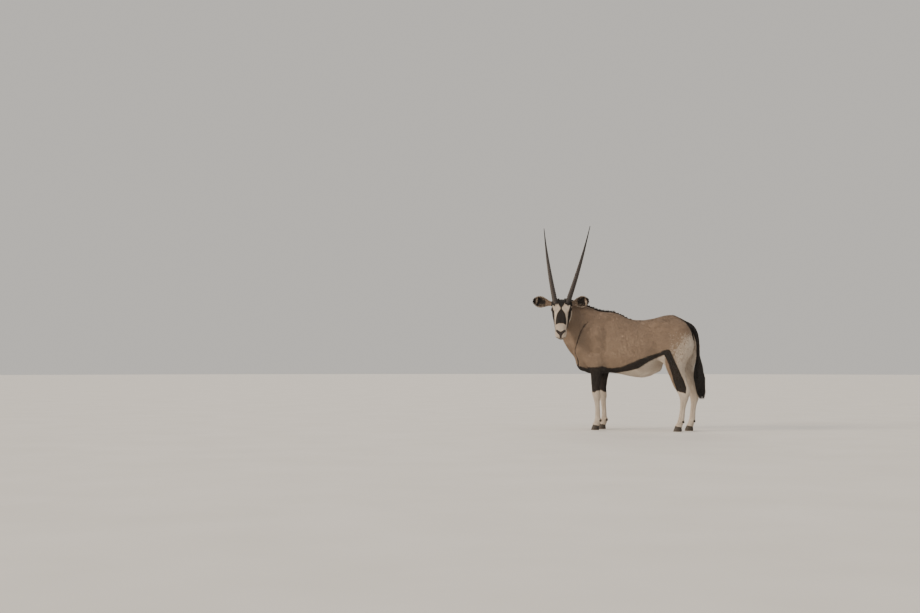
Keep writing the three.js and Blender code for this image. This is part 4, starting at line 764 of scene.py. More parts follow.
def zip_up(v, A, B):
    """Triangles between two open rims, A and B, that run opposite ways round the same hole."""
    B = B[::-1]
    i0 = 0; j0 = int(np.argmin(np.linalg.norm(v[B]-v[A[0]], axis=1))); B = B[j0:]+B[:j0]
    i = j = 0; out = []; n, m = len(A), len(B)
    while i < n or j < m:
        a, b = A[i % n], B[j % m]; a2, b2 = A[(i+1) % n], B[(j+1) % m]
        go_a = j >= m or (i < n and np.linalg.norm(v[a2]-v[b]) <= np.linalg.norm(v[b2]-v[a]))
        if go_a: out.append([a2, a, b]); i += 1
        else: out.append([a, b, b2]); j += 1
    return np.array(out, int)


def make_skin():
    """One closed skin. The head and the lower legs are meshed finer and joined to the body along a ring each."""
    neck_at, knee = .300, .440
    P0 = NO+NS*neck_at
    lo, hi = V(-.98, -.36, .40), V(.66, .36, 1.40)
    hb = .0052

    def body_fn(P):
        # closed past the cuts, so that each region is a whole solid
        f = skin(P); s = (P-P0)@NS
        return np.maximum(f, np.maximum(s-.012, knee-.012-P[:, 2]))
    v, q = mesh_field(body_fn, lo, hi, hb); v = project(body_fn, v, 2, 1.2e-3, hb*.5)
    told("body %d quads" % len(q))
    v, f = decimated("body", v, q, 92000)
    v, f = cut(v, f, P0-NS*.0008, -NS); v, f = cut(v, f, V(0, 0, knee+.0008), V(0, 0, 1))
    parts = [(v, f)]
    hh = .0025

    def head_fn(P):
        f = skin(P); s = (P-P0)@NS
        return np.maximum(f, -.010-s)
    v, q = mesh_field(head_fn, V(-1.09, -.47, .87), V(-.40, .04, 1.42), hh); v = project(head_fn, v, 2, .8e-3, hh*.5)
    told("head %d quads" % len(q))
    v, f = decimated("head", v, q, 74000)
    parts.append(cut(v, f, P0+NS*.0008, NS))
    hl = .0034
    for x0, x1 in ((.28, .66), (-.55, -.28)):
        for y0, y1 in ((.035, .20), (-.20, -.035)):
            def leg_fn(P):
                return np.maximum(skin(P), P[:, 2]-(knee+.010))
            v, q = mesh_field(leg_fn, V(x0, y0, .02), V(x1, y1, .46), hl); v = project(leg_fn, v, 2, 1e-3, hl*.5)
            v, f = decimated("leg", v, q, 8000)
            parts.append(cut(v, f, V(0, 0, knee-.0008), V(0, 0, -1)))
    told("legs")
    off = 0; vs, fs, where = [], [], []
    for i, (v, f) in enumerate(parts):
        vs.append(v); fs.append(f+off); where.append(np.full(len(v), i)); off += len(v)
    v = np.concatenate(vs); f = np.concatenate(fs); where = np.concatenate(where)
    # loops of the body meet those of the others
    lp = rims(f); own = [l for l in lp if where[l[0]] == 0]; other = [l for l in lp if where[l[0]] != 0]
    told("rims %s and %s" % ([len(l) for l in own], [len(l) for l in other]))
    strips = []
    for a in own:
        b = min(other, key=lambda l: np.linalg.norm(v[l].mean(0)-v[a].mean(0)))
        strips.append(zip_up(v, a, b))
    f = np.concatenate([f]+strips)
    return v, f
# ---------------------------------------------------------------- markings
lerp = np.interp
BACK_LINE = [(-.40, .013), (-.20, .012), (.05, .010), (.25, .011), (.34, .016)]


def top(*d):
    r = d[0]
    for q in d[1:]: r = np.maximum(r, q)
    return r


def low(*d):
    r = d[0]
    for q in d[1:]: r = np.minimum(r, q)
    return r


_last = {}


def on_head(P):
    """True for points of the head, not of the neck behind it."""
    key = (len(P), float(P[0].sum()), float(P[-1].sum()))
    if key not in _last:
        for old in [o for o in _last if o != "fold"][:-3]: del _last[old]
        _last[key] = (head_weight(P) >= .5) & (union(HEADP, P) < union(BODY, P)+.002)
    return _last[key]


def head_share(P):
    """As head_weight, without the neck behind the head."""
    m = (P[:, 2] > .86) & (P[:, 0] < -.45); out = np.zeros(len(P)); q = P[m]
    if m.any(): out[m] = head_weight(q)*np.clip((union(BODY, q)-union(HEADP, q))/.03+.5, 0, 1)
    return out


def on_ear(e, P, start):
    """True for points on the ear itself, from start on along it."""
    m = ((P-e.root)@e.A > start) & np.all((P > e.lo-.01) & (P < e.hi+.01), axis=1)
    k = np.flatnonzero(m)
    if len(k): m[k] = e(P[k]) < .009
    return m


def marks(P):
    """Black and white as signed distances (positive inside), bare skin from 0 to 1, and tone from -1 to 1."""
    x, y, z = P.T; ay = np.abs(y); n = len(P); no = np.full(n, -.05)
    black, white, bare, tone = no.copy(), no.copy(), np.zeros(n), np.zeros(n)
    hw = head_weight(P); s, l, u = head_uv(P); al = np.abs(l); ns, na, nb = neck_uv(P)
    ear = {}
    for sd, e in EARS.items():
        ear[sd] = on_ear(e, P, .020)
    body = (hw < .5) & ~(ear[1] | ear[-1])
    # --- trunk and legs
    far = np.where(y > 0, 1.0, 0.0)
    limb_f = (x > -.52) & (x < -.29) & (z < .66)
    zt = lerp(x, [-.47, -.40, -.332, -.251, -.157, -.043, .061, .138, .215, .255, .29, .33], [.600, .618, .624, .621, .632, .670, .714, .741, .766, .780, .800, .800])
    zb = lerp(x, [-.47, -.358, -.272, -.15, -.035, .031, .084, .134, .171, .211, .25, .29, .33], [.545, .560, .568, .584, .601, .621, .651, .684, .704, .722, .738, .752, .76])
    flank = low(zt-z, z-zb, .31-x, x+.47, ay-.035)
    dxh = far*lerp(z, [a for a, _ in HIND_FAR_DX], [b for _, b in HIND_FAR_DX])
    xh = x-dxh
    xf = lerp(z, [.385, .43, .504, .602, .70, .75, .79, .815], [.400, .390, .371, .350, .318, .292, .300, .335])
    xr = lerp(z, [.385, .43, .505, .602, .70, .78, .815], [.490, .494, .472, .434, .394, .362, .345])
    thigh = low(xh-xf, xr-xh, ay-.088, z-.392-.28*(.50-xh)+.02, .808-9*np.clip(x-.315, 0, 1)**2-z)
    thigh = np.where((x > .2) & (z < .83), thigh, -.05)
    knee_edge = .389+.010*np.sin(xh*60)
    fore = np.where(limb_f & (ay > .045), low(lerp(x, [-.52, -.40, -.345, -.322, -.29], [.632, .632, .645, .628, .620])-z, z-knee_edge), -.05)
    streak = low(.008-np.abs(x+.352+.04*(z-.55)), .612-z, z-.47, .150-ay)
    fore = np.where(limb_f, low(fore, -streak), fore)
    brisket = .078-np.sqrt(((x+.580)/1.05)**2+(y/1.25)**2+((z-.598)/.92)**2)
    brisket = top(brisket, low(.560+.30*np.clip(-x-.42, 0, 1)+.028-z, .115-ay, -.30-x, x+.66, z-.50))
    m = body & (x < -.40) & (y < .03)
    # painted shadow: a black line along the neck's base fold, on the near side only, wider further down
    fold_shadow = no.copy()
    if m.any():
        if "fold" not in _last:
            t = np.linspace(0, 1, 46); q = np.c_[tuple(np.interp(t*(len(CREASE)-1), np.arange(len(CREASE)), CREASE[:, i]) for i in range(3))]
            _last["fold"] = project(skin, q, 5, 1.2e-3)
        d, t = to_line(P[m], _last["fold"])
        fold_shadow[m] = lerp(t, [0, .20, .32, .45, .60, .78, 1], [-.004, .002, .0045, .0055, .0060, .0075, .012])-d
    spine = np.where((z > .95) & (x > -.43), lerp(x, [a for a, _ in BACK_LINE], [b for _, b in BACK_LINE])-ay, -.05)
    ze = lerp(x, [.30, .34, .374, .42, .462, .517, .552, .60], [1.165, 1.142, 1.128, 1.104, 1.072, 1.000, .930, .84])
    croup = np.where((x > .28) & (z > .84), low((z-ze)*.8, (lerp(z, [.84, .93, 1.02, 1.12, 1.17], [.048, .064, .088, .086, .068])-ay)*.9), -.05)
    tail = np.where((x > .49) & (ay < .055) & (z < 1.02), low(x-(.565-.9*(np.clip(z, .86, 1.0)-.86)), z-.55), -.05)
    black_b = top(flank, thigh, fore, brisket, fold_shadow, spine, croup, tail)
    # dew claws, and the smudge down the front of the fore cannon
    dew = no.copy()
    for a, b in DEW:
        k = (np.abs(x-b[0]) < .04) & (np.abs(y-b[1]) < .03) & (np.abs(z-b[2]) < .04)
        if k.any():
            d, t = to_line(P[k], np.array([(a+b)/2, b])); dew[k] = top(dew[k], .0115-d)
    black_b = top(black_b, dew)
    # --- neck: mane line and throat
    crest = lerp(ns, [-.06, .03, .12, .22, .32, .42, .5, .57], [.290, .290, .268, .236, .200, .150, .105, .070])
    mane = np.where((ns > .05) & (z > 1.0) & (x < -.25), low(lerp(ns, [.05, .16], [.004, .011])-np.abs(na-lerp(ns, [0, .3, .6], [.0, -.004, .0])), nb-crest+lerp(ns, [.05, .16], [.012, .040])), -.05)
    thr = lerp(ns, [0, .12, .22, .32, .42, .5], [-.275, -.293, -.282, -.252, -.205, -.152])
    throat = np.where((ns > .16) & (ns < .80), low(lerp(ns, [.16, .34, .52, .66, .80], [-.004, .016, .022, .018, -.002])-np.abs(na+.012*np.sin(ns*9)), thr+.070-nb), -.05)
    black_b = top(black_b, mane, throat)
    # --- white parts of the body
    belly = np.where((x > -.34) & (x < .30) & (z < .78), low(zb-z, .30-x, x+.34), -.05)
    shank_f = np.where((x > -.56) & (x < -.28), knee_edge-z, -.05)
    shank_h = np.where(x > .25, .392+.28*(.50-xh)-.02-z, -.05)
    inner = np.where((x > .2) & (z < .78) & (z > .38), .085-ay, -.05)*.7
    butt = lerp(z, [.39, .43, .505, .602, .68, .797, .90, .98], [.470, .474, .449, .417, .397, .400, .470, .540])
    seat = np.where((x > .33) & (z > .36) & (z < 1.0), ((xh-butt)*.75-lerp(z, [.40, .60, .80, 1.0], [0, .0, .010, .030]))*lerp(z, [.55, .70], [1, .4]), -.05)
    white_b = top(belly, shank_f, shank_h, inner, seat)
    # --- the face
    tip = lerp(s, [-.03, 0, .038, .055, .073, .094, .105, .120, .133, .1455, .172, .211, .254, .284], [.046, .045, .040, .031, .023, .010, .0068, .0085, .0180, .027, .041, .049, .053, .052])
    face_up = u > lerp(s, [0, .1, .3, .42], [-.05, -.045, -.035, -.05])
    blaze = low(tip-al, .2800+.35*al*(al > .02)-.007*(al > .02)-s)
    blaze = np.where(face_up, blaze, -.05)
    l_in = lerp(s, [.015, .05, .075, .094, .120, .1455, .172, .211, .254, .284, .31, .33], [.074, .087, .0885, .0850, .0770, .0700, .0670, .0660, .0640, .0600, .0565, .0550])
    u_bk = lerp(s, [.015, .05, .103, .15, .20, .26, .30, .33], [-.060, -.062, -.066, -.086, -.098, -.104, -.104, -.095])
    stripe = low(al-l_in, u-u_bk, .335+.10*(al-.05)-s, s-.010)
    strap_p = np.array([(.000, .078, -.085), (.040, .084, -.128), (.090, .070, -.165), (.140, .040, -.176), (.160, .0, -.172)])
    d, t = to_line(np.c_[s, al, u], strap_p); strap = lerp(t, [0, .3, .7, 1], [.010, .013, .017, .020])-d
    jawline = np.array([(.150, .030, -.172), (.200, .030, -.160), (.250, .034, -.135), (.290, .040, -.112)])
    d, t = to_line(np.c_[s, al, u], jawline); strap = top(strap, lerp(t, [0, 1], [.016, .012])-d)
    horn_ring = .030-np.sqrt((s-.034)**2+(al-.061)**2)
    horn_ring = np.where(u > -.06, horn_ring, -.05)
    nose = low(s-lerp(al, [0, .010, .022, .046], [.371, .368, .360, .343]), lerp(al, [0, .006, .014, .024, .036, .050], [.440, .425, .402, .393, .383, .366])-s, .0505-al)
    nose = np.where(u > lerp(s, [.34, .38, .40, .43], [-.040, -.046, -.060, -.062]), nose, -.05)
    mu = lerp(s, MOUTH_S, MOUTH_U)
    mouth = np.where(s > .322, .0024+.0022*np.clip((s-.37)/.03, 0, 1)-np.abs(u-mu), -.05)
    black_h = top(blaze, stripe, strap, horn_ring, mouth, nose)
    patch = low(s-.030, .290-s, al-tip, u+.07)                       # beside the blaze
    muzzle = low(s-.2825, .45-s)
    # the chin: its dark lip and painted shade under the muzzle, darker and kept from the white
    chin_lip_and_shade = low(s-.362, mu-.004-u, .036-al)
    cheek = low(s-.06, .21-s, u_bk-u, u+.16)*.4-.004
    white_h = top(patch, muzzle, cheek, low(s-.25, -.10-u))
    white_h = low(white_h, -chin_lip_and_shade*.6+.004)
    h = on_head(P)
    black = np.where(h, black_h, black_b); white = np.where(h, white_h, white_b)
    bare = np.where(h, np.clip(nose/.004, 0, 1), np.clip(low((.600-z)/.05, (x-.03)/.06, (.275-x)/.05, (.100-ay)/.02), 0, 1)*(z > .45))
    # --- ears: dark hollow with a pale root and rim, black tip behind
    for sd, e in EARS.items():
        m = ear[sd]
        if m.any():
            a, b, c = e.local(P[m]); mid, uu, W, deep, xx = e.mid(a, b)
            front = c-mid > 0
            inside = low((.90-xx)*W, (uu-.37)*e.L*.7, (.985-uu)*e.L)
            pale = .012-np.hypot((uu-.82)*e.L*1.3, (b+.008)*.36)          # a pale band short of the tip
            inside = low(inside, -pale-.003)
            tipb = (uu-.905)*e.L*.8; edge = (xx-.955)*W
            black[m] = np.where(front, top(inside, tipb), top(tipb, low(edge, (uu-.3)*e.L)))
            white[m] = np.where(front, low(top(pale*.6-.004, low((xx-.90)*W, (uu-.45)*e.L, -b*sd*.0+.01)*.3-.001), (.90-uu)*e.L), -.02)
            bare[m] = 0
    # --- tone: darker back and knees, lighter low on the sides, and on the head a darker chin: its dark lip and painted shade
    tone = np.where(h, -.10-.8*np.clip(chin_lip_and_shade/.006, 0, 1), lerp(z, [.55, .75, .95, 1.12, 1.2], [.45, .25, -.05, -.35, -.45]))
    tone = tone+np.where(h, 0, .35*np.clip((x-.30)/.2, 0, 1)*np.clip((1.0-z)/.2, 0, 1))
    tone = tone-np.where(h, 0, .25*np.clip((-.33-x)/.15, 0, 1)*np.clip((z-.86)/.24, 0, 1))
    smudge = np.where((z < .34) & (z > .12), low(.34-z, z-.14, .016-(xh-lerp(z, [.12, .22, .34], [-.440, -.438, -.462])-far*.008)), -.05)
    tone = tone-.55*np.clip(smudge/.006, 0, 1)*(x < -.3)
    return np.clip(black, -.05, .05), np.clip(white, -.05, .05), np.clip(bare, 0, 1), np.clip(tone, -1, 1)


def flow(P):
    """The way the hair lies, before it is laid into the surface."""
    x, y, z = P.T; ay = np.abs(y)
    t = np.clip((1.10-z)/.5, 0, 1)
    d = np.c_[np.full(len(P), 1.0), np.zeros(len(P)), -.25-.55*t]
    d[:, 2] -= np.clip((-.30-x)/.25, 0, 1)*.9                        # chest
    d = unit(d)
    hs, a, b = neck_uv(P); kn = np.clip((hs-.02)/.16, 0, 1)[:, None]
    d = unit(d*(1-kn)+kn*(-NS*1.0-NB*.25))
    kl = np.clip((.66-z)/.14, 0, 1)*((x < -.28) | (x > .20)); kl = kl*np.where(x > .2, np.clip((x-.2)/.08, 0, 1), np.clip((-.26-x)/.06, 0, 1)); kl = kl[:, None]
    d = unit(d*(1-kl)+kl*V(.12, 0, -1))
    kb = (np.clip((x-.40)/.12, 0, 1)*np.clip((z-.45)/.1, 0, 1))[:, None]
    d = unit(d*(1-kb)+kb*V(.25, 0, -1))
    s, l, u = head_uv(P); hw = head_share(P)[:, None]
    f = HF*1.0-HU*.10*(s > .1)[:, None]
    side = np.clip((-.03-u)/.04, 0, 1)[:, None]
    f = unit(f*(1-side*.6)+side*.6*(-HU))
    pole = np.clip((.02-s)/.04, 0, 1)[:, None]; f = unit(f*(1-pole)-HF*pole*.6-HU*pole)
    d = unit(d*(1-hw)+f*hw)
    for sd, e in EARS.items():
        q, bb, c = e.local(P); m = on_ear(e, P, .005)
        d[m] = unit(e.A+e.B*(bb[m]/.10)[:, None])
    return d


# ---------------------------------------------------------------- making objects
def mesh_object(name, v, faces, attrs=None, mat=None, smooth=True, shift=True):
    """faces: an array of triangles or quads, or a list of such arrays."""
    me = bpy.data.meshes.new(name)
    fl = faces if isinstance(faces, list) else [faces]
    v = np.asarray(v, np.float32)+(SHIFT.astype(np.float32) if shift else 0)
    me.vertices.add(len(v)); me.vertices.foreach_set("co", v.ravel())
    idx = np.concatenate([np.asarray(q, np.int32).ravel() for q in fl])
    sizes = np.concatenate([np.full(len(q), q.shape[1], np.int32) for q in fl])
    start = np.concatenate([[0], np.cumsum(sizes)[:-1]]).astype(np.int32)
    me.loops.add(len(idx)); me.loops.foreach_set("vertex_index", idx)
    me.polygons.add(len(sizes)); me.polygons.foreach_set("loop_start", start)
    me.update(calc_edges=True)
    me.polygons.foreach_set("use_smooth", np.full(len(sizes), smooth))
    for k, a in (attrs or {}).items():
        a = np.asarray(a, np.float32)
        if a.ndim == 1:
            at = me.attributes.new(k, "FLOAT", "POINT"); at.data.foreach_set("value", a)
        else:
            at = me.attributes.new(k, "FLOAT_VECTOR", "POINT"); at.data.foreach_set("vector", a.ravel())
    me.validate()
    ob = bpy.data.objects.new(name, me); bpy.context.scene.collection.objects.link(ob)
    if mat: me.materials.append(mat)
    return ob


def uv_map(ob, name, uv):
    """uv: one pair for each vertex."""
    me = ob.data; layer = me.uv_layers.new(name=name)
    idx = np.empty(len(me.loops), np.int32); me.loops.foreach_get("vertex_index", idx)
    layer.data.foreach_set("uv", np.asarray(uv, np.float32)[idx].ravel())


class Nodes:
    """A short way to write a material's nodes."""
    def __init__(self, name):
        self.m = bpy.data.materials.new(name); self.m.use_nodes = True
        self.t = self.m.node_tree; self.t.nodes.clear()
        self.out = self.t.nodes.new("ShaderNodeOutputMaterial")

    def n(self, kind, **props):
        ins = props.pop("ins", {})
        o = self.t.nodes.new(kind)
        for k, v in props.items(): setattr(o, k, v)
        for k, v in ins.items(): self.set(o, k, v)
        return o

    def set(self, o, k, v):
        if v is None: return
        s = o.inputs[k]
        if isinstance(v, bpy.types.NodeSocket): self.t.links.new(v, s)
        else: s.default_value = v

    def attr(self, name, vec=False):
        o = self.n("ShaderNodeAttribute"); o.attribute_name = name
        return o.outputs["Vector"] if vec else o.outputs["Fac"]

    def math(self, op, a, b=None, c=None, clamp=False):
        o = self.n("ShaderNodeMath", operation=op); o.use_clamp = clamp
        for i, v in enumerate((a, b, c)):
            if v is not None: self.set(o, i, v)
        return o.outputs[0]

    def vmath(self, op, a, b=None):
        o = self.n("ShaderNodeVectorMath", operation=op)
        self.set(o, 0, a)
        if b is not None:
            if op == "SCALE": self.set(o, "Scale", b)
            else: self.set(o, 1, b)
        return o.outputs[0]

    def step(self, v, lo, hi, to0=0.0, to1=1.0):
        o = self.n("ShaderNodeMapRange", interpolation_type="SMOOTHSTEP", ins={"Value": v, "From Min": lo, "From Max": hi, "To Min": to0, "To Max": to1})
        return o.outputs[0]

    def line(self, v, lo, hi, to0=0.0, to1=1.0):
        o = self.n("ShaderNodeMapRange", ins={"Value": v, "From Min": lo, "From Max": hi, "To Min": to0, "To Max": to1}); o.clamp = True
        return o.outputs[0]

    def noise(self, vec, scale, detail=2.0, rough=.5, dist=0.0):
        o = self.n("ShaderNodeTexNoise", ins={"Vector": vec, "Scale": scale, "Detail": detail, "Roughness": rough, "Distortion": dist})
        return o.outputs["Fac"]

    def mix(self, f, a, b, kind="MIX"):
        o = self.n("ShaderNodeMix", data_type="RGBA", blend_type=kind)
        for k, v in ((0, f), (6, a), (7, b)):
            if isinstance(v, bpy.types.NodeSocket): self.t.links.new(v, o.inputs[k])
            else: o.inputs[k].default_value = v if k == 0 else (*v, 1.0)
        return o.outputs[2]

    def bump(self, h, strength, dist, normal=None):
        o = self.n("ShaderNodeBump", ins={"Height": h, "Strength": strength, "Distance": dist, "Normal": normal})
        return o.outputs[0]

    def shader(self, color, rough, normal=None, **fixed):
        o = self.n("ShaderNodeBsdfPrincipled")
        if isinstance(color, bpy.types.NodeSocket): self.t.links.new(color, o.inputs["Base Color"])
        else: o.inputs["Base Color"].default_value = (*color, 1)
        self.set(o, "Roughness", rough)
        if normal is not None: self.set(o, "Normal", normal)
        for k, v in fixed.items(): o.inputs[k.replace("_", " ")].default_value = v
        self.t.links.new(o.outputs[0], self.out.inputs["Surface"])
        return self.m


FAWN_LIGHT, FAWN, FAWN_DARK = (.385, .285, .205), (.298, .214, .152), (.190, .134, .098)
WHITE, WHITE_WARM = (.72, .64, .55), (.58, .49, .40)
BLACK, BROWN = (.011, .0092, .0085), (.040, .027, .020)


def coat_material(name, tuft):
    """Markings, hair colour and hair relief. Tufts bring their own painted shade at the root, their lighter tips and
    their own difference.
    """
    k = Nodes(name)
    blk, wht, bare, tone = (k.attr(a) for a in ("blk", "wht", "bare", "tone"))
    hc = k.attr("hc", True)
    pos = k.n("ShaderNodeTexCoord").outputs["Object"]
    fine = k.noise(hc, 260.0, 2.0, .6)
    mid = k.noise(hc, 90.0, 2.0, .5)
    broad = k.noise(pos, 9.0, 3.0, .55)
    ragged = k.math("ADD", k.math("MULTIPLY", k.math("SUBTRACT", mid, .5), .016), k.math("MULTIPLY", k.math("SUBTRACT", fine, .5), .008))
    e = .0016 if tuft else .0030
    bm = k.step(k.math("ADD", blk, 0.0 if tuft else ragged), -e, e)
    wm = k.step(k.math("ADD", wht, k.math("MULTIPLY", ragged, 0.0 if tuft else 1.3)), -e*2.5, e*2.5)
    t = k.math("ADD", k.math("MULTIPLY", tone, .5), k.math("MULTIPLY", k.math("SUBTRACT", broad, .5), .7))
    t = k.math("ADD", t, k.math("MULTIPLY", k.math("SUBTRACT", mid, .5), .5))
    if tuft:
        var, tip = k.attr("var"), k.attr("tip")
        t = k.math("ADD", t, k.math("MULTIPLY", k.math("SUBTRACT", var, .5), .34))
    fawn = k.mix(k.line(t, -.6, 0.0), FAWN_DARK, FAWN)
    fawn = k.mix(k.line(t, 0.0, .7), fawn, FAWN_LIGHT)
    white = k.mix(k.line(k.math("ADD", broad, k.math("MULTIPLY", mid, .5)), .5, 1.0), WHITE_WARM, WHITE)
    black = k.mix(k.line(k.math("ADD", k.math("MULTIPLY", fine, .6), k.math("MULTIPLY", broad, .6)), .45, .95), BLACK, BROWN)
    c = k.mix(wm, fawn, white); c = k.mix(bm, c, black)
    naked = k.mix(k.line(k.noise(pos, 70.0, 3.0, .6), .3, .7), (.020, .015, .013), (.055, .040, .034))
    teat = k.mix(k.line(k.noise(pos, 90.0, 3.0, .6), .3, .7), (.36, .27, .21), (.46, .37, .30))
    high = k.n("ShaderNodeSeparateXYZ", ins={0: pos}).outputs[2]
    c = k.mix(bare, c, k.mix(k.step(high, .70, .80), teat, naked))
    if tuft:
        # painted shade: each tuft darker towards its root, less so in the white
        c = k.mix(k.math("MULTIPLY", k.line(tip, 0.0, .7, .26, 0.0), k.line(wm, 0.0, 1.0, 1.0, .35)), c, k.mix(1.0, c, (.58, .55, .53), "MULTIPLY"))
        c = k.mix(k.line(tip, .55, 1.0, 0.0, .22), c, k.mix(1.0, c, (1.4, 1.39, 1.37), "MULTIPLY"))
        c = k.mix(k.line(var, 0.0, 1.0, .18, 0.0), c, k.mix(1.0, c, (.60, .58, .56), "MULTIPLY"))
        nrm = k.bump(k.noise(hc, 700.0, 1.0, .5), .35, .0006)
        rough = k.line(fine, .2, .8, .56, .74)
        return k.shader(c, rough, nrm, Specular_IOR_Level=.30, Sheen_Weight=.12, Sheen_Roughness=.45)
    c = k.mix(k.line(fine, .30, .62, .36, 0.0), c, k.mix(1.0, c, (.50, .47, .44), "MULTIPLY"))
    h = k.math("ADD", k.math("MULTIPLY", fine, .6), k.math("MULTIPLY", k.noise(hc, 640.0, 2.0, .6), .5))
    keep = k.math("SUBTRACT", 1.0, bare)
    pores = k.noise(pos, 900.0, 2.0, .6)
    h = k.math("ADD", k.math("MULTIPLY", h, keep), k.math("MULTIPLY", k.math("MULTIPLY", pores, .5), bare))
    nrm = k.bump(h, .75, .0016)
    rough = k.math("SUBTRACT", k.line(fine, .2, .8, .60, .80), k.math("MULTIPLY", bare, .26))
    return k.shader(c, rough, nrm, Specular_IOR_Level=.32, Sheen_Weight=.10, Sheen_Roughness=.5)


def hair_coords(P):
    """Coordinates that run slowly along the hair and fast across it, for the streaks."""
    x, y, z = P.T
    s, l, u = head_uv(P); hw = on_head(P)*1.0; ns, na, nb = neck_uv(P)
    trunk = np.c_[x*.14-z*.05, y, z+x*.30]
    legs = np.c_[x, y, z*.13]+V(3.0, 0, 0)
    neck = np.c_[ns*.14, na, nb]+V(6.0, 0, 0)
    head = np.c_[s*.16, l, u]+V(9.0, 0, 0)
    k = ((z < .60) & ((x < -.28) | (x > .25)))[:, None]
    out = np.where(k, legs, trunk); out = np.where((ns > .10)[:, None] & (x < -.30)[:, None], neck, out); out = np.where((hw > .5)[:, None], head, out)
    for sd, e in EARS.items():
        a, b, c = e.local(P); m = (a > .02) & np.all((P > e.lo) & (P < e.hi), axis=1) & (np.abs(c) < .06)
        out[m] = np.c_[a*.16, b, c][m]+V(12.0, 0, 0)
    return out


def normals(v, f):
    n = np.cross(v[f[:, 1]]-v[f[:, 0]], v[f[:, 2]]-v[f[:, 0]]); out = np.zeros_like(v)
    for i in range(3):
        for j in range(3): out[:, j] += np.bincount(f[:, i], weights=n[:, j], minlength=len(v))
    return unit(out)


# ---------------------------------------------------------------- camera, light and floor
def stage():
    sc = bpy.context.scene
    cam = bpy.data.cameras.new("camera"); cam.lens = 50; cam.sensor_width = 36; cam.sensor_fit = "HORIZONTAL"; cam.clip_end = 400
    co = bpy.data.objects.new("camera", cam); sc.collection.objects.link(co)
    co.location = (3.344+SHIFT[0], -12.480+SHIFT[1], .68)
    from mathutils import Matrix
    yaw, pitch = math.radians(23.02), math.radians(2.487)
    f = np.array([-math.sin(yaw)*math.cos(pitch), math.cos(yaw)*math.cos(pitch), math.sin(pitch)])
    r = unit(np.cross(f, V(0, 0, 1))); up = np.cross(r, f)
    co.rotation_euler = Matrix(((r[0], up[0], -f[0]), (r[1], up[1], -f[1]), (r[2], up[2], -f[2]))).to_euler()
    sc.camera = co
    me = bpy.data.meshes.new("floor"); R = 60.0; k = 96
    ring = [(R*math.cos(2*math.pi*i/k), R*math.sin(2*math.pi*i/k), -.0005) for i in range(k)]
    me.from_pydata([(0, 0, -.0005)]+ring, [], [(0, 1+i, 1+(i+1) % k) for i in range(k)])
    floor = bpy.data.objects.new("floor", me); sc.collection.objects.link(floor)
    n = Nodes("floor_pale"); pos = n.n("ShaderNodeTexCoord").outputs["Object"]
    c = n.mix(n.line(n.noise(pos, 1.6, 3.0, .5), .3, .7), (.64, .615, .58), (.68, .655, .62))
    me.materials.append(n.shader(c, .85, Specular_IOR_Level=.2))
    w = bpy.data.worlds.new("world"); sc.world = w; w.use_nodes = True
    w.node_tree.nodes["Background"].inputs[0].default_value = (.84, .80, .74, 1); w.node_tree.nodes["Background"].inputs[1].default_value = .74

    def soft(name, at, angle, power, color):
        li = bpy.data.lights.new(name, "SUN"); li.angle = angle; li.energy = power; li.color = color
        o = bpy.data.objects.new(name, li); sc.collection.objects.link(o); o.location = at
        d = unit(V(0, 0, .8)-V(*at)); r = unit(np.cross(d, V(0, 0, 1))); up = np.cross(r, d)
        o.rotation_euler = Matrix(((r[0], up[0], -d[0]), (r[1], up[1], -d[1]), (r[2], up[2], -d[2]))).to_euler()
    soft("key", (-5.6, -5.2, 3.6), .45, 2.8, (1.0, .84, .66))
    soft("rim", (-3.0, 6.0, 4.2), .60, .9, (1.0, .90, .78))
    soft("top", (.4, -.8, 7.0), 1.2, .7, (.97, .98, 1.0))


# ---------------------------------------------------------------- eyes, horns, hooves
def eye(sd, name, mat):
    c, o, lg, up = EYES[sd]; A, B = 40, 24; v = [c+o*(EYE_R+.0016)]; at = [(0.0, 0.0)]
    for i in range(1, B+1):
        th = math.pi*i/(B+1)
        bulge = .0016*max(0.0, math.cos(min(th/.62, 1)*math.pi/2))**1.2
        for j in range(A):
            ph = 2*math.pi*j/A; d = o*math.cos(th)+(lg*math.cos(ph)+up*math.sin(ph))*math.sin(th)
            v.append(c+d*(EYE_R+bulge)); at.append((th*math.cos(ph), th*math.sin(ph)))
    v.append(c-o*EYE_R); at.append((math.pi, 0.0))
    f3 = [(0, 1+j, 1+(j+1) % A) for j in range(A)]; f4 = []
    for i in range(B-1):
        for j in range(A): a = 1+i*A+j; b = 1+i*A+(j+1) % A; f4.append((a, a+A, b+A, b))
    e = 1+(B-1)*A; f3 += [(e+j, len(v)-1, e+(j+1) % A) for j in range(A)]
    at = np.array(at)
    v = np.array(v); f3 = np.array(f3); f4 = np.array(f4)
    # face outward
    n = np.cross(v[f4[:, 1]]-v[f4[:, 0]], v[f4[:, 2]]-v[f4[:, 0]]); s = ((v[f4].mean(1)-c)*n).sum(1)
    if s.mean() < 0: f4 = f4[:, ::-1]
    n = np.cross(v[f3[:, 1]]-v[f3[:, 0]], v[f3[:, 2]]-v[f3[:, 0]]); s = ((v[f3].mean(1)-c)*n).sum(1)
    f3[s < 0] = f3[s < 0][:, ::-1]
    return mesh_object(name, v, [f3, f4], {"eu": at[:, 0], "ev": at[:, 1]}, mat)


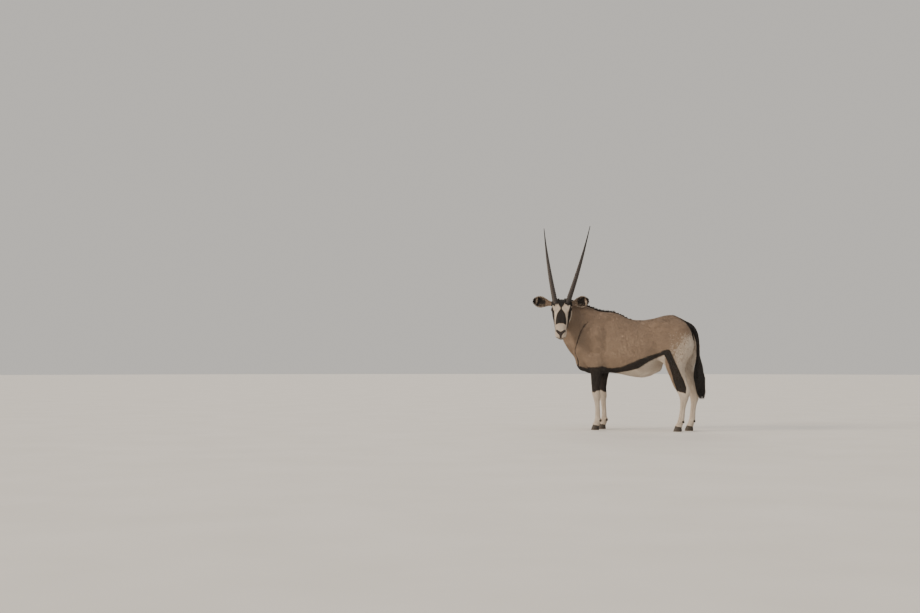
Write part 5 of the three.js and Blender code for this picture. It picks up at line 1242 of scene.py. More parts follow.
def eye_material():
    k = Nodes("eye_wet"); eu, ev = k.attr("eu"), k.attr("ev")
    r = k.math("SQRT", k.math("ADD", k.math("POWER", eu, 2.0), k.math("POWER", ev, 2.0)))
    # the pupil lies level, a rounded bar
    pu = k.math("POWER", k.math("DIVIDE", eu, .30), 4.0); pv = k.math("POWER", k.math("DIVIDE", ev, .135), 4.0)
    pupil = k.step(k.math("ADD", pu, pv), .7, 1.4, 1.0, 0.0)
    ang = k.math("ARCTAN2", ev, eu)
    sp = k.n("ShaderNodeCombineXYZ", ins={0: k.math("MULTIPLY", k.math("COSINE", ang), 6.0), 1: k.math("MULTIPLY", k.math("SINE", ang), 6.0), 2: k.math("MULTIPLY", r, 2.0)}).outputs[0]
    rays = k.noise(sp, 3.0, 4.0, .6)
    iris = k.mix(k.line(rays, .3, .7), (.012, .006, .0035), (.050, .024, .010))
    c = k.mix(k.step(r, .55, .66), iris, (.006, .004, .0035))
    c = k.mix(k.step(r, .80, .98), c, (.070, .050, .042))
    c = k.mix(pupil, c, (.0015, .0015, .0018))
    return k.shader(c, .08, Specular_IOR_Level=.6, Coat_Weight=1.0, Coat_Roughness=.03, IOR=1.38)


HORN = dict(s=.034, l=.061, u=-.020, radius=.0268, tip=.0032, pitch=.024, lean=.42, rise={1: .816, -1: .797}, splay={1: .2126, -1: .1445}, bow=.012)


def horn(sd, name, mat):
    """The head's left is 1. Ridged rings over the lower two thirds, smooth and sharp above."""
    h = HORN; base = hp(h["s"], sd*h["l"], h["u"])
    tip = base-HB*h["lean"]+HL*(h["splay"][1] if sd > 0 else -h["splay"][-1])+V(0, 0, h["rise"][sd])
    ax = unit(tip-base); bow = sd*HL-(sd*HL@ax)*ax; bow = unit(bow); b2 = np.cross(ax, bow)
    mid = (base+tip)/2+bow*h["bow"]*2; p0 = base-ax*.022; L = np.linalg.norm(tip-base)
    N, A = 430, 40; t = np.linspace(0, 1, N+1)
    C = ((1-t)**2)[:, None]*p0+(2*t*(1-t))[:, None]*mid+(t**2)[:, None]*tip
    D = unit(np.gradient(C, axis=0)); s = t*L
    th = np.arange(A)/A*2*math.pi
    r = h["radius"]*(1-t)+h["tip"]*t+.0022*np.sin(math.pi*np.minimum(1, t*1.3))
    # rings: pitch shrinks a little upward, each a raised lip with a sharper upper edge
    ph = (s/h["pitch"])*(1+.10*t); w = np.clip((.66-t)/.20, 0, 1)*np.clip((s-.004)/.02, 0, 1)
    g = np.random.default_rng(11+sd); nk = 60; jit = g.normal(0, .16, nk); amp = .7+.6*g.random(nk)
    wob = g.random((nk, 2))*2*math.pi
    ring = np.floor(ph).astype(int) % nk
    rr = np.empty((N+1, A)); lip = np.empty((N+1, A))
    for j, q in enumerate(th):
        p = ph+jit[ring]*0+.10*np.sin(q+wob[ring, 0])*0+.13*np.cos(q)      # rings stand a little higher in front
        fr = p-np.floor(p); k = np.floor(p).astype(int) % nk
        shape = np.exp(-((fr-.55)/.20)**2)-.30*np.exp(-((fr-.06)/.14)**2)-.20*np.exp(-((fr-.94)/.10)**2)
        a = amp[k]*(1-.25*np.cos(2*q+wob[k, 1]))
        lip[:, j] = shape*w
        rr[:, j] = r+.0019*(1-.45*t)*a*shape*w-.0006*w
    rr *= 1+.004*np.sin(th*7+3*t[:, None])*(1-w[:, None]*.5)
    rr[:, :] = np.minimum(rr, (r+.0030)[:, None])
    v = C[:, None]+rr[..., None]*(np.cos(th)[None, :, None]*bow+np.sin(th)[None, :, None]*b2)
    v = v.reshape(-1, 3)
    i, j = np.meshgrid(np.arange(N), np.arange(A), indexing="ij"); a = i*A+j; b = i*A+(j+1) % A
    f = np.stack([a, b, b+A, a+A], -1).reshape(-1, 4)
    top_, bot = len(v), len(v)+1
    v = np.concatenate([v, [tip+D[-1]*.0022], [p0-ax*.001]]); jj = np.arange(A); e = N*A
    cap = np.concatenate([np.stack([e+jj, e+(jj+1) % A, np.full(A, top_)], 1), np.stack([(jj+1) % A, jj, np.full(A, bot)], 1)])
    n = np.cross(v[f[:, 1]]-v[f[:, 0]], v[f[:, 2]]-v[f[:, 0]]); out = ((v[f].mean(1)-C[:-1].repeat(A, 0))*n).sum(1).mean()
    if out < 0: f, cap = f[:, ::-1], cap[:, ::-1]
    th2 = np.tile(th, N+1)
    lipv = np.concatenate([lip.ravel(), [0, 0]]); along = np.concatenate([np.repeat(s, A), [L, 0]])
    hc = np.c_[np.concatenate([np.cos(th2), [0, 0]]), np.concatenate([np.sin(th2), [0, 0]]), along*.5]
    return mesh_object(name, v, [f, cap], {"lip": lipv, "along": along, "hc": hc}, mat)


def horn_material():
    k = Nodes("horn_keratin"); lip, along, hc = k.attr("lip"), k.attr("along"), k.attr("hc", True)
    streak = k.noise(hc, 14.0, 4.0, .6); pos = k.n("ShaderNodeTexCoord").outputs["Object"]; spot = k.noise(pos, 55.0, 4.0, .6)
    c = k.mix(k.line(streak, .3, .7), (.014, .0102, .0082), (.038, .026, .020))
    # lighter on the rings' raised lips: rubbed wear and a painted highlight
    c = k.mix(k.line(lip, .2, .95, 0.0, .50), c, (.070, .048, .035))
    # painted shade: darker in the grooves between the rings
    c = k.mix(k.line(lip, -.3, -.02, .6, 0.0), c, (.010, .0075, .006))
    c = k.mix(k.line(along, .03, .12, .65, 0.0), c, k.mix(k.line(spot, .3, .7), (.026, .019, .015), (.014, .010, .008)))
    c = k.mix(k.line(along, .58, .80), c, (.0085, .0070, .0065))
    fibre = k.noise(k.vmath("MULTIPLY", hc, (30.0, 30.0, 6.0)), 2.2, 3.0, .6)
    nrm = k.bump(k.math("ADD", k.math("MULTIPLY", fibre, .6), k.math("MULTIPLY", spot, .5)), .5, .0011)
    rough = k.math("ADD", k.line(along, .15, .70, .52, .27), k.math("MULTIPLY", k.math("SUBTRACT", spot, .5), .18))
    return k.shader(c, rough, nrm, Specular_IOR_Level=.45)


def claw(x, y, inward, toe, heel, width, name, mat):
    """A cloven half: flat sole on the floor, toe forward, straight inner wall."""
    gap = .0003; plane = lambda px: CORONET-SLOPE*(px-(toe+heel)/2)-gap
    A, R = 40, 14; v = []; ringno = []
    for i in range(R+1):
        t = i/R
        f = toe+.022*t; r = heel-.004*t; w = width*(1-.10*t)
        edge = .0010*(1-min(1, t/.10))**2                              # the sole's edge is rounded off
        pinch = .0012*math.exp(-((t-.93)/.06)**2); bead = .00045*math.sin(t*34)*(t > .12)*(t < .9)
        for a in range(A):
            th = a/A*2*math.pi; c, s = math.cos(th), math.sin(th); lg = (r-f)/2
            taper = 1-.35*c*c if c < 0 else 1; flat = .72 if s*inward > 0 else 1
            g = 1-(edge+pinch*.6)/.012+bead/.03
            px = (f+r)/2+lg*math.copysign(abs(c)**.85, c)*g; py = y+inward*.002+w*.5*s*taper*flat*g
            v.append((px, py, plane(px)*t)); ringno.append(t)
    top_, bot = len(v), len(v)+1
    v.append(((toe+heel)/2, y, plane((toe+heel)/2))); ringno.append(1.0); v.append(((toe+heel)/2, y, 0.0)); ringno.append(0.0)
    v = np.array(v); i, j = np.meshgrid(np.arange(R), np.arange(A), indexing="ij"); a = i*A+j; b = i*A+(j+1) % A
    f = np.stack([a, b, b+A, a+A], -1).reshape(-1, 4); jj = np.arange(A); e = R*A
    cap = np.concatenate([np.stack([e+jj, e+(jj+1) % A, np.full(A, top_)], 1), np.stack([(jj+1) % A, jj, np.full(A, bot)], 1)])
    return mesh_object(name, v, [f, cap], {"up": np.array(ringno)}, mat)


def hoof_material():
    k = Nodes("hoof_keratin"); up = k.attr("up"); pos = k.n("ShaderNodeTexCoord").outputs["Object"]
    n1 = k.noise(pos, 60.0, 4.0, .6); st = k.noise(k.vmath("MULTIPLY", pos, (1.0, 1.0, .12)), 420.0, 3.0, .6)
    c = k.mix(k.line(n1, .3, .7), (.020, .017, .015), (.050, .041, .034))
    c = k.mix(k.line(st, .35, .7, 0.0, .5), c, (.080, .065, .053))
    c = k.mix(k.line(up, 0.0, .22, .55, 0.0), c, (.16, .125, .092))
    c = k.mix(k.line(up, .86, 1.0, 0.0, .6), c, (.13, .10, .078))
    nrm = k.bump(k.math("ADD", k.math("MULTIPLY", st, .6), k.math("MULTIPLY", k.noise(k.vmath("MULTIPLY", pos, (.2, .2, 1.0)), 300.0, 2.0, .5), .5)), .5, .0009)
    return k.shader(c, k.line(n1, .3, .7, .46, .66), nrm, Specular_IOR_Level=.35)


# ---------------------------------------------------------------- coat
def pelt(P):
    """Length, width and number to the square metre of the coat's tufts."""
    x, y, z = P.T
    zz = [0, .05, .10, .30, .44, .60, .72, .90]
    L = lerp(z, zz, [.0050, .0060, .0085, .0100, .0120, .0155, .0185, .0200])
    W = lerp(z, zz, [.0014, .0016, .0020, .0021, .0024, .0029, .0033, .0034])
    D = lerp(z, zz, [120e3, 105e3, 80e3, 74e3, 54e3, 42e3, 36e3, 34e3])
    ns, na, nb = neck_uv(P); k = np.clip((ns+.02)/.1, 0, 1)*np.clip((.55-ns)/.15, 0, 1)*(x < -.25)
    L = L*(1-.22*k); W = W*(1-.20*k); D = D*(1+.30*k)
    hw = head_share(P); s, l, u = head_uv(P)
    ss = [-.10, 0, .10, .20, .30, .36, .40, .43]
    L = L*(1-hw)+hw*lerp(s, ss, [.0105, .0085, .0066, .0060, .0052, .0042, .0032, .0026])
    W = W*(1-hw)+hw*lerp(s, ss, [.0025, .0021, .0016, .0015, .0013, .0011, .0009, .0008])
    D = D*(1-hw)+hw*lerp(s, ss, [70e3, 95e3, 130e3, 140e3, 160e3, 210e3, 270e3, 300e3])
    for sd, e in EARS.items():
        m = on_ear(e, P, .015); L[m], W[m], D[m] = .0085, .0016, 88e3
    m = (x > .49) & (np.abs(y) < .05) & (z < 1.02) & (z > .5)          # tail
    L[m], W[m] = .018, .0030; D[m] = 60e3
    k = np.clip(low((x+.03)/.06, (.285-x)/.05, (.620-z)/.065), 0, 1)*(z > .45)    # udder
    L = L*(1-k)+.008*k; D = D*(1-k)+12e3*k
    return L, W, D


def bake_place(P, kind):
    """Where a root lies on a flat unwrap of the skin, each coordinate from 0 to 1."""
    x, y, z = P.T
    if kind == "trunk": u = (x+.70)/1.30; v = np.arctan2(z-.82, np.abs(y)*1.6)/math.pi+.5
    elif kind == "neck": s, a, b = neck_uv(P); u = (s+.15)/.80; v = np.arctan2(a*2.0, b)/(2*math.pi)+.5
    elif kind == "leg": c = np.where(x > 0, lerp(z, [0, .3, .45, .8], [.47, .50, .48, .40]), -.36); u = np.arctan2(np.abs(y)-.10, x-c)/(2*math.pi)+.5; v = z/.86
    elif kind == "head": s, l, w = head_uv(P); u = (s+.10)/.56; v = np.arctan2(l, w+.075)/(2*math.pi)+.5
    else:
        u = np.zeros(len(P)); v = np.zeros(len(P))
        for sd, e in EARS.items():
            a, b, c = e.local(P); m = e.lo[0]+.03 < x; m = (P-e.root)@e.A > -.05
            m &= np.linalg.norm(P-e.root, axis=1) < .26
            mid = e.mid(a, b)[0]; u[m] = ((a/.21)[m]*.24+.01)+np.where((c > mid)[m], .25, 0)+(.5 if sd > 0 else 0); v[m] = (b/.13+.5)[m]
    return np.clip(u, .004, .996), np.clip(v, .004, .996)


def region_of(P, hair=False):
    """The coat piece each root belongs to."""
    x, y, z = P.T; far = y > 0; out = np.full(len(P), "trunk_near_fore", dtype="U24")
    ns, na, nb = neck_uv(P); hw = on_head(P)*1.0
    out[(x < -.08) & far] = "trunk_far_fore"; out[(x >= -.08) & ~far] = "trunk_near_hind"; out[(x >= -.08) & far] = "trunk_far_hind"
    leg = (z < .66) & ((x < -.28) & (np.abs(y) > .03) | (x > .27))
    for nm, m in (("leg_fore_near", (x < 0) & ~far), ("leg_fore_far", (x < 0) & far), ("leg_hind_near", (x > 0) & ~far), ("leg_hind_far", (x > 0) & far)): out[leg & m] = nm
    neck = (ns > .08) & (x < -.30) & (z > .70); out[neck & (na < 0)] = "neck_a"; out[neck & (na >= 0)] = "neck_b"
    up = (z > 1.0) & (x < -.55) & (hw < .5) & ~neck; out[up] = "neck_a"
    l = (P-HP)@HL; out[(hw >= .5) & (l < 0)] = "head_a"; out[(hw >= .5) & (l >= 0)] = "head_b"
    for sd, e in EARS.items():
        out[on_ear(e, P, .015)] = "ears"
    tail = (x > .49) & (np.abs(y) < .05) & (z < 1.02) & (z > .5); out[tail] = "trunk_far_hind"
    return out


KIND = {"t": "trunk", "n": "neck", "l": "leg", "h": "head", "e": "ears"}
COAT = {}


def add_coat(region, v, f, attrs, uv, slot_name="coat"):
    COAT.setdefault(region, []).append((v, f, attrs, uv, slot_name))


def finish_coat(mat):
    total = 0
    for name, rows in COAT.items():
        off = 0; vs, fs, uvs = [], [], []; at = {k: [] for k in rows[0][2]}
        for v, f, a, uv, s in rows:
            vs.append(v); fs.append(f+off); off += len(v); uvs.append(uv)
            for k in at: at[k].append(a[k])
        f = np.concatenate(fs); total += len(f)
        ob = mesh_object("fur_"+name, np.concatenate(vs), f, {k: np.concatenate(q) for k, q in at.items()}, mat)
        uv_map(ob, "OFBake", np.concatenate(uvs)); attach(ob, "root")
        if name == "tail_tuft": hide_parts("tail_tuft")
        told("%s: %d triangles" % (ob.name, len(f)))
    told("coat in all %d triangles" % total)


def tufts(sv, sf, count):
    """Small pointed locks laid over the skin."""
    a, b, c = sv[sf[:, 0]], sv[sf[:, 1]], sv[sf[:, 2]]; fn = np.cross(b-a, c-a); area = np.linalg.norm(fn, axis=1)/2
    mid = (a+b+c)/3; L, W, D = pelt(mid); w = area*D
    w[mid[:, 2] < .040] = 0
    w *= count/w.sum(); cum = np.concatenate([[0], np.cumsum(w)]); n = int(cum[-1])
    pick = np.clip(np.searchsorted(cum, np.sort((np.arange(n)+rng.random(n))), side="right")-1, 0, len(sf)-1)
    r1, r2 = rng.random(n), rng.random(n); q = np.sqrt(r1)
    vn = normals(sv, sf)
    k0, k1, k2 = (1-q)[:, None], (q*(1-r2))[:, None], (q*r2)[:, None]; t = sf[pick]
    P = k0*sv[t[:, 0]]+k1*sv[t[:, 1]]+k2*sv[t[:, 2]]; N = unit(k0*vn[t[:, 0]]+k1*vn[t[:, 1]]+k2*vn[t[:, 2]])
    L, W, D = pelt(P)
    # none on the nose, inside the lids, in the mouth or in the nostrils
    blk, wht, bare, tone = marks(P); keep = bare < .15+.5*rng.random(n)
    for sd, (ec, o, lg, up) in EYES.items():
        d = P-ec; r = np.linalg.norm(d, axis=1); dd = d/np.maximum(r, 1e-6)[:, None]
        keep &= ~((r < EYE_R+.0012) | ((r < EYE_R+.0060) & (np.abs(np.arctan2(dd@up, dd@o)) < .78) & (np.abs(np.arctan2(dd@lg, dd@o)) < 1.12)))
    s, l, u = head_uv(P); mu = lerp(s, MOUTH_S, MOUTH_U)
    keep &= ~(on_head(P) & (s > .318) & (np.abs(u-mu) < .0022))
    P, N, L, W, blk, wht, bare, tone = (z_[keep] for z_ in (P, N, L, W, blk, wht, bare, tone)); n = len(P)
    # single hairs of the other colour along every edge, a wide mixed band where the seat's white begins
    seat = np.clip((P[:, 0]-.30)/.05, 0, 1)*np.clip((P[:, 2]-.56)/.1, 0, 1)*np.clip((1.05-P[:, 2])/.1, 0, 1)*(P[:, 0] < .55)
    blk = blk+rng.normal(0, .0016, n); wht = wht+rng.normal(0, 1, n)*(.002+.020*seat); tone = tone+.30*seat*np.clip(1-np.abs(wht)/.05, 0, 1)
    T = flow(P)
    # slow waver of the lie, and each tuft's own turn
    wob = .22*np.sin(P[:, 0]*23+1.3*np.sin(P[:, 2]*17))*np.sin(P[:, 2]*29+P[:, 0]*7)+rng.normal(0, .15, n)
    T = T-(T*N).sum(1)[:, None]*N; T = unit(T); B = np.cross(N, T); T = unit(T*np.cos(wob)[:, None]+B*np.sin(wob)[:, None]); B = np.cross(N, T)
    var = rng.random(n); depth = np.maximum(coat_depth(P), .0008)
    L = L*(.70+.60*rng.random(n)); W = W*(.75+.5*rng.random(n)); rise = .22+.42*rng.random(n)**1.5
    h1, h2 = depth*rise*.62+.0003, depth*rise
    hd = on_head(P); h2 = np.where(hd, h2*.8, h2)
    M = P+T*(L*.46)[:, None]; E = P+T*L[:, None]
    sm, se = skin(M), skin(E)
    near = (np.abs(sm) < .006) & (np.abs(se) < .010)
    lim = (L*.45)
    M = M+N*(h1-np.clip(sm, -lim, lim))[:, None]; E = E+N*(h2-np.clip(se, -lim*1.6, lim*1.6))[:, None]
    R = np.stack([P-B*(W*.34)[:, None]-N*.0006, P+B*(W*.34)[:, None]-N*.0006, P+N*.0004], 1)
    up_ = N-T*((h1/L))[:, None]*.5
    Mr = np.stack([M-B*(W*.5)[:, None]-up_*.0002, M+B*(W*.5)[:, None]-up_*.0002, M+up_*(W*.16)[:, None]], 1)
    v = np.concatenate([R, Mr, E[:, None]], 1)[near]
    idx = np.nonzero(near)[0]; m = len(idx)
    F = np.array([[0, 2, 5], [0, 5, 3], [2, 1, 4], [2, 4, 5], [1, 0, 3], [1, 3, 4], [3, 5, 6], [5, 4, 6], [4, 3, 6]])
    region = region_of(P[idx]); hc = hair_coords(P[idx])
    loc = np.array([(-.3, 0), (.3, 0), (0, 0), (-.5, .46), (.5, .46), (0, .46), (0, 1.0)])
    for name in sorted(set(region.tolist())):
        k = np.nonzero(region == name)[0]; g = idx[k]; vv = v[k].reshape(-1, 3); c_ = len(k)
        f = (np.arange(c_)[:, None, None]*7+F).reshape(-1, 3)
        rep = lambda a_: np.repeat(a_, 7)
        h = np.repeat(hc[k], 7, axis=0); off = np.tile(loc, (c_, 1)); WW, LL = rep(W[g]), rep(L[g])
        h = h+np.c_[off[:, 1]*LL*.16, off[:, 0]*WW, off[:, 0]*WW*.6]+np.repeat(rng.random(c_), 7)[:, None]*.4
        bu, bv = bake_place(P[g], KIND[name[0]])
        uv = np.c_[rep(bu)+off[:, 0]*.0030, rep(bv)+(off[:, 1]-.5)*.0030]
        at = {"blk": rep(blk[g]), "wht": rep(wht[g]), "bare": rep(bare[g]), "tone": rep(tone[g]), "var": rep(var[g]), "tip": np.tile([0, 0, .1, .45, .45, .5, 1.0], c_), "hc": h}
        add_coat(name, vv, f, at, uv, "ear_coat" if name == "ears" else "coat")
    told("%d tufts" % m)


def strands(region, path, rad, blk, wht, tone, var, place, slot_name, bare=None):
    """Hairs and locks as thin three-sided shafts. path is n x k x 3, rad n x k."""
    n, k, _ = path.shape
    tan = unit(np.gradient(path, axis=1)); ref = np.where(np.abs(tan[..., 2:3]) > .9, V(1.0, 0, 0), V(0, 0, 1.0))
    s1 = unit(np.cross(tan, ref)); s2 = np.cross(tan, s1)
    ang = np.arange(3)*2*math.pi/3
    rings = path[:, :-1, None]+rad[:, :-1, None, None]*(np.cos(ang)[None, None, :, None]*s1[:, :-1, None]+np.sin(ang)[None, None, :, None]*s2[:, :-1, None])
    v = np.concatenate([rings.reshape(n, -1, 3), path[:, -1:]], 1); per = (k-1)*3+1
    F = []
    for i in range(k-2):
        for j in range(3):
            a, b = i*3+j, i*3+(j+1) % 3; F += [[a, b, b+3], [a, b+3, a+3]]
    e = (k-2)*3; F += [[e+j, e+(j+1) % 3, per-1] for j in range(3)]
    f = (np.arange(n)[:, None, None]*per+np.array(F)).reshape(-1, 3)
    rep = lambda a_: np.repeat(np.broadcast_to(a_, (n,)), per)
    t = np.concatenate([np.repeat(np.arange(k-1)/(k-1), 3), [1.0]]); j = np.concatenate([np.tile([-.5, .5, 0], k-1), [0]])
    uv = np.c_[rep(place[0])+np.tile(j, n)*.003, rep(place[1])+(np.tile(t, n)-.5)*.003]
    hc = np.repeat(path[:, 0], per, axis=0)+np.c_[np.tile(t, n)*.02, np.tile(j, n)*.004, np.zeros(n*per)]+rep(rng.random(n))[:, None]
    at = {"blk": rep(blk), "wht": rep(wht), "bare": rep(0.0 if bare is None else bare), "tone": rep(tone), "var": rep(var), "tip": np.tile(t, n), "hc": hc}
    add_coat(region, v.reshape(-1, 3), f, at, uv, slot_name)


TUFT = [(.73, .585, .020, .020), (.70, .588, .027, .025), (.65, .588, .043, .034), (.58, .588, .054, .042), (.52, .596, .063, .045), (.46, .602, .056, .041), (.40, .614, .042, .032), (.35, .624, .024, .020), (.31, .630, .007, .007)]


def tail_hair(n=2600, k=9):
    """Long hair that leaves the dock over a third of its length and hangs in locks."""
    T = np.array(TUFT[:6]+[(.40, .610, .054, .041), (.35, .614, .045, .034), (.31, .618, .032, .025)])[::-1]; tc = np.array(sorted([(c[2], c[0], hx, hy) for c, hx, hy in TAIL]))
    z0 = .80-.22*rng.random(n)**1.3; locks = 90; lock = rng.integers(0, locks, n)
    lr, la = np.sqrt(rng.random(locks))*.86, rng.random(locks)*2*math.pi; lz = .306+.20*rng.random(locks)**1.6
    ang = la[lock]+rng.normal(0, .30, n); rho = np.clip(lr[lock]+rng.normal(0, .13, n), .05, .97)
    z1 = np.clip(lz[lock]+rng.normal(0, .025, n)+.10*rng.random(n)**3, .313, .62); z1 = np.minimum(z1, z0-.12)
    t = np.linspace(0, 1, k); z = z0[:, None]+(z1-z0)[:, None]*t
    ox = np.interp(z, T[:, 0], T[:, 1]); hx = np.interp(z, T[:, 0], T[:, 2]); hy = np.interp(z, T[:, 0], T[:, 3])
    cx = np.interp(z, tc[:, 0], tc[:, 1]); rx = np.interp(z, tc[:, 0], tc[:, 2])*.9
    open_ = np.clip((z0[:, None]-z)/.10, 0, 1); open_ = open_*open_*(3-2*open_)
    wave = .05*np.sin(z*38+la[lock][:, None]*3)+.03*np.sin(z*71+ang[:, None]*5)
    r = rho[:, None]*(1-.25*t)+.25*t*lr[lock][:, None]
    x = (cx+rx*np.cos(ang)[:, None])*(1-open_)+(ox+(hx-.003)*(r*np.cos(ang)[:, None]+wave*.6))*open_
    y = (rx*np.sin(ang)[:, None])*(1-open_)+((hy-.003)*(r*np.sin(ang)[:, None]+wave*.5))*open_
    path = np.stack([x, y, z], 2); rad = np.array([.0011, .0015, .0017, .0017, .0016, .0014, .0011, .0007, .0002])[None]*(.7+.7*rng.random(n))[:, None]
    place = (ang/(2*math.pi)) % 1*.96+.02, np.clip((z0-.55)/.27, 0, 1)*.96+.02
    strands("tail_tuft", path, rad, .05, -.05, rng.normal(-.2, .3, n), .25+.5*rng.random(n), place, "tail_hair")


def mane(n=3200, k=5):
    """A short dark crest from behind the ears to the withers."""
    s = -.045+.62*rng.random(n); step = np.floor(s/.011); g = np.random.default_rng(3); lockh = g.random(200)
    lh = lockh[(step.astype(int)+20) % 200]
    crest = lerp(s, [-.06, .03, .12, .22, .32, .42, .5, .57], [.290, .290, .268, .236, .200, .150, .105, .070])
    off = lerp(s, [.03, .3, .6], [.0, -.004, .0]); a = off+rng.normal(0, .0065, n)
    P = NO+s[:, None]*NS+a[:, None]*NA+(crest-.02)[:, None]*NB
    for _ in range(7):
        d = skin(P); P = P-d[:, None]*NB*.85
    N = unit(slope(P)); ok = (np.abs(skin(P)) < .002) & (P[:, 2] > .98)
    long_ = np.interp(s, [-.04, .05, .3, .5, .575], [.014, .020, .022, .018, .009])*(.55+.65*lh)*(.80+.4*rng.random(n))
    back = unit(NS*1.0-NB*.15)*-1.0
    back = unit(-back)
    stand = .95+rng.normal(0, .16, n)
    t = np.linspace(0, 1, k)
    side = rng.normal(0, .10, n)
    D = unit(NB*stand[:, None]+NS*-.0+NA*side[:, None])
    path = P[:, None]-N[:, None]*.001+D[:, None]*(long_[:, None]*t)[..., None]*.72+(-NS*MANE_WAY)[None, None]*(long_[:, None]*t**1.6)[..., None]*.75
    rad = np.array([.0008, .0010, .0009, .0006, .0001])[None]*(.7+.6*rng.random(n))[:, None]
    place = (s+.05)/.64*.96+.02, .5+a/.06
    o = ok
    strands("mane", path[o], rad[o], np.where(rng.random(n) < .97, .05, -.03)[o], -.05, (-.5+rng.normal(0, .2, n))[o], rng.random(n)[o], (place[0][o], place[1][o]), "coat")


MANE_WAY = -1.0


def ear_hair():
    for sd, e in EARS.items():
        # fringe round the rim
        n = 1300; u = .10+.90*rng.random(n); b = np.where(rng.random(n) < .5, -1, 1)
        W = np.interp(u, e.t, e.w); bb = b*(W-.0022); a = u*e.L
        mid = e.mid(a, bb)[0]
        P = e.root+a[:, None]*e.A+bb[:, None]*e.B+(mid-.0005)[:, None]*e.C
        du = .01; dW = (np.interp(np.clip(u+du, 0, 1), e.t, e.w)-W)/du/e.L
        outw = unit(b[:, None]*e.B+e.A*(.55-dW)[:, None]+e.C*(.30+rng.normal(0, .2, n))[:, None])
        ln = .0068*(.5+.9*rng.random(n)); t = np.linspace(0, 1, 4)
        path = P[:, None]+outw[:, None]*(ln[:, None]*t)[..., None]+e.A*(ln[:, None]*t**2)[..., None]*.45
        rad = np.array([.00040, .00045, .00030, .00008])[None]*(.7+.6*rng.random(n))[:, None]
        dark = np.clip((u-.84)/.05, 0, 1) > rng.random(n)
        place = (.25+.5*(sd > 0)+u*.2, .5+bb/.13)
        dark |= (rng.random(n) < .45) & (u > .35)
        pale = ~dark & (rng.random(n) < .30)
        strands("ears", path, rad, np.where(dark, .05, -.05), np.where(pale, .04, -.05), rng.normal(.2, .4, n), rng.random(n), place, "ear_coat")
        # long pale hairs from the root and the edges over the hollow
        n = 420; u = .06+.60*rng.random(n)**1.3; b = np.where(rng.random(n) < .5, -1, 1)
        W = np.interp(u, e.t, e.w); bb = b*W*(.60+.34*rng.random(n)); a = u*e.L
        mid = e.mid(a, bb)[0]; P = e.root+a[:, None]*e.A+bb[:, None]*e.B+(mid+e.thick*.45)[:, None]*e.C
        ln = .019*(.5+.7*rng.random(n)); t = np.linspace(0, 1, 6)
        way = unit(-b[:, None]*e.B*(.55+.3*rng.random(n))[:, None]+e.A*.8+e.C*.35)
        path = P[:, None]+way[:, None]*(ln[:, None]*t)[..., None]
        ca, cb, cc = ((path-e.root)@q for q in (e.A, e.B, e.C))
        floor_ = e.mid(ca.ravel(), cb.ravel())[0].reshape(ca.shape)+e.thick*.5+.0012+.004*np.sin(t*math.pi)[None]*rng.random(n)[:, None]
        path = path+(np.maximum(floor_, 0*floor_-1)-cc)[..., None]*e.C*np.clip(t*4, .3, 1)[None, :, None]
        rad = np.array([.00035, .0004, .0004, .00035, .0002, .00008])[None]*(.7+.6*rng.random(n))[:, None]
        place = (.25+.5*(sd > 0)+u*.2, .5+bb/.13)
        pale = rng.random(n) < .22
        strands("ears", path, rad, -.05, np.where(pale, .04, -.05), rng.normal(.1, .5, n), rng.random(n), place, "ear_coat")


def horn_collar():
    """Dark hair that climbs round the foot of each horn."""
    h = HORN
    for sd in (1, -1):
        base = hp(h["s"], sd*h["l"], h["u"]); tip = base-HB*h["lean"]+HL*(h["splay"][1] if sd > 0 else -h["splay"][-1])+V(0, 0, h["rise"][sd])
        ax = unit(tip-base); b1 = unit(sd*HL-(sd*HL@ax)*ax); b2 = np.cross(ax, b1)
        n = 1100; th = rng.random(n)*2*math.pi; out = np.cos(th)[:, None]*b1+np.sin(th)[:, None]*b2
        P = base+out*(.0285+.006*rng.random(n))[:, None]-ax*.012
        for _ in range(8):
            d = skin(P); P = P-np.clip(d, -.01, .01)[:, None]*(ax*.8+out*.15)
        ok = np.abs(skin(P)) < .003; t = np.linspace(0, 1, 5); ln = .017*(.55+.7*rng.random(n))
        path = P[:, None]-ax*.001+ax*(ln[:, None]*t)[..., None]+out[:, None]*(ln[:, None]*(.16*t-.10*t*t))[..., None]
        path += (b1*rng.normal(0, .10, n)[:, None]+b2*rng.normal(0, .10, n)[:, None])[:, None]*(ln[:, None]*t)[..., None]
        rad = np.array([.0007, .0008, .0007, .0004, .0001])[None]*(.7+.6*rng.random(n))[:, None]
        s, l, w = head_uv(P); place = ((s+.10)/.56, np.arctan2(l, w+.075)/(2*math.pi)+.5)
        strands("head_a" if sd < 0 else "head_b", path[ok], rad[ok], .05, -.05, rng.normal(-.3, .3, n)[ok], rng.random(n)[ok], (place[0][ok], place[1][ok]), "coat")


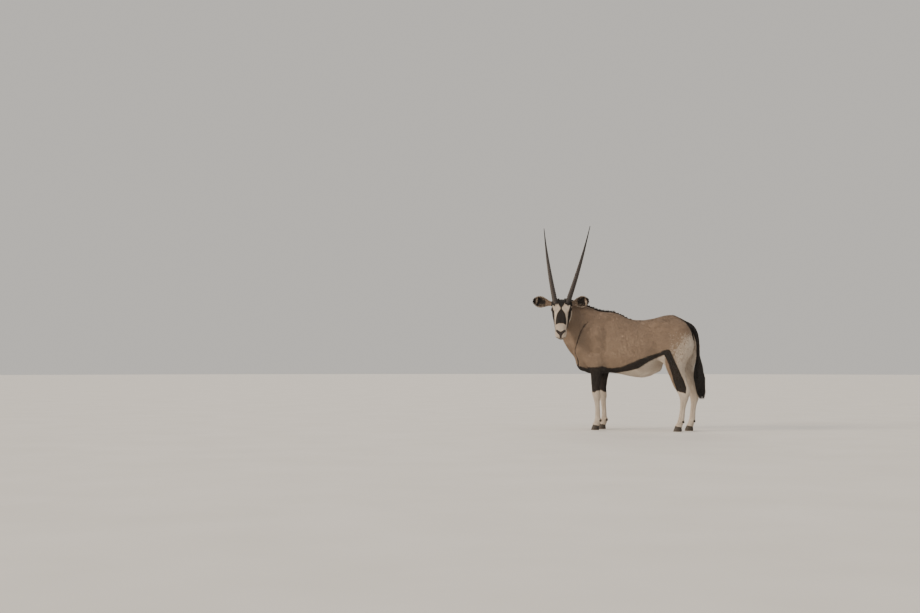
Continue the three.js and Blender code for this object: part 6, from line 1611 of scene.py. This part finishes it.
def lashes():
    for sd, (c, o, lg, up) in EYES.items():
        for lid, U, Vv, n, ln in ((1, .90, .56, 70, .0105), (-1, .80, .44, 36, .0050)):
            uu = (rng.random(n)*2-1)*U*.94; vv = lid*(Vv*np.sqrt(np.maximum(1-np.abs(uu/.96)**1.7, 0))+.05)
            d = unit(o[None]*1.0+lg*np.tan(uu)[:, None]*np.cos(vv)[:, None]+up*np.tan(vv)[:, None])
            P = c+d*(EYE_R+.0020); D = unit(o*1.0+up*lid*.15+lg*(uu*.5)[:, None]); t = np.linspace(0, 1, 5)
            l2 = ln*(.7+.5*rng.random(n))
            path = P[:, None]+D[:, None]*(l2[:, None]*t)[..., None]+(up*(-.25 if lid > 0 else -.35))[None, None]*(l2[:, None]*(t-.9*t*t))[..., None]
            rad = np.array([.00030, .00030, .00025, .00018, .00006])[None]*np.ones((n, 1))
            s, l, w = head_uv(P); place = ((s+.10)/.56, np.arctan2(l, w+.075)/(2*math.pi)+.5)
            strands("head_a" if sd < 0 else "head_b", path, rad, .05, -.05, np.full(n, -.5), rng.random(n)*.5, place, "coat")


v, f = make_skin()
told("skin %d triangles" % len(f))
stage()
coat_skin, coat_tufts = coat_material("coat_skin", False), coat_material("coat_tufts", True)
blk, wht, bare, tone = marks(v)
skin_piece = mesh_object("skin", v, f, {"blk": blk, "wht": wht, "bare": bare, "tone": tone, "hc": hair_coords(v)}, coat_skin)
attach(skin_piece, "root")
FLESH = [n for n in frame["nodes"] if not n.startswith(("eye", "horn", "tail_tuft")) and "claw" not in n]
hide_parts(*FLESH)
eyes_mat, horn_mat, hoof_mat = eye_material(), horn_material(), hoof_material()
for sd, k in ((1, "l"), (-1, "r")):
    o = eye(sd, "eyeball_"+k, eyes_mat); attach(o, "root"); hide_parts("eye_"+k)
    o = horn(sd, "horn_ringed_"+k, horn_mat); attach(o, "root"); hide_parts("horn_"+k)
for i, (toe, heel, y, sd) in enumerate(FEET):
    kind, side = "hind" if i < 2 else "fore", "r" if sd > 0 else "l"
    for word, o_ in (("outer", 1), ("inner", -1)):
        o = claw((toe+heel)/2, y+sd*o_*.0172, -sd*o_, toe, heel, .0335, "hoof_%s_%s_%s" % (kind, word, side), hoof_mat)
        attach(o, "root"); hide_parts("%s_claw_%s_%s" % (kind, word, side))
told("skin, eyes, horns and hooves")
tufts(v, f, 124000)
tail_hair(); mane(); ear_hair(); horn_collar(); lashes()
finish_coat(coat_tufts)

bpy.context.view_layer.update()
told("done")
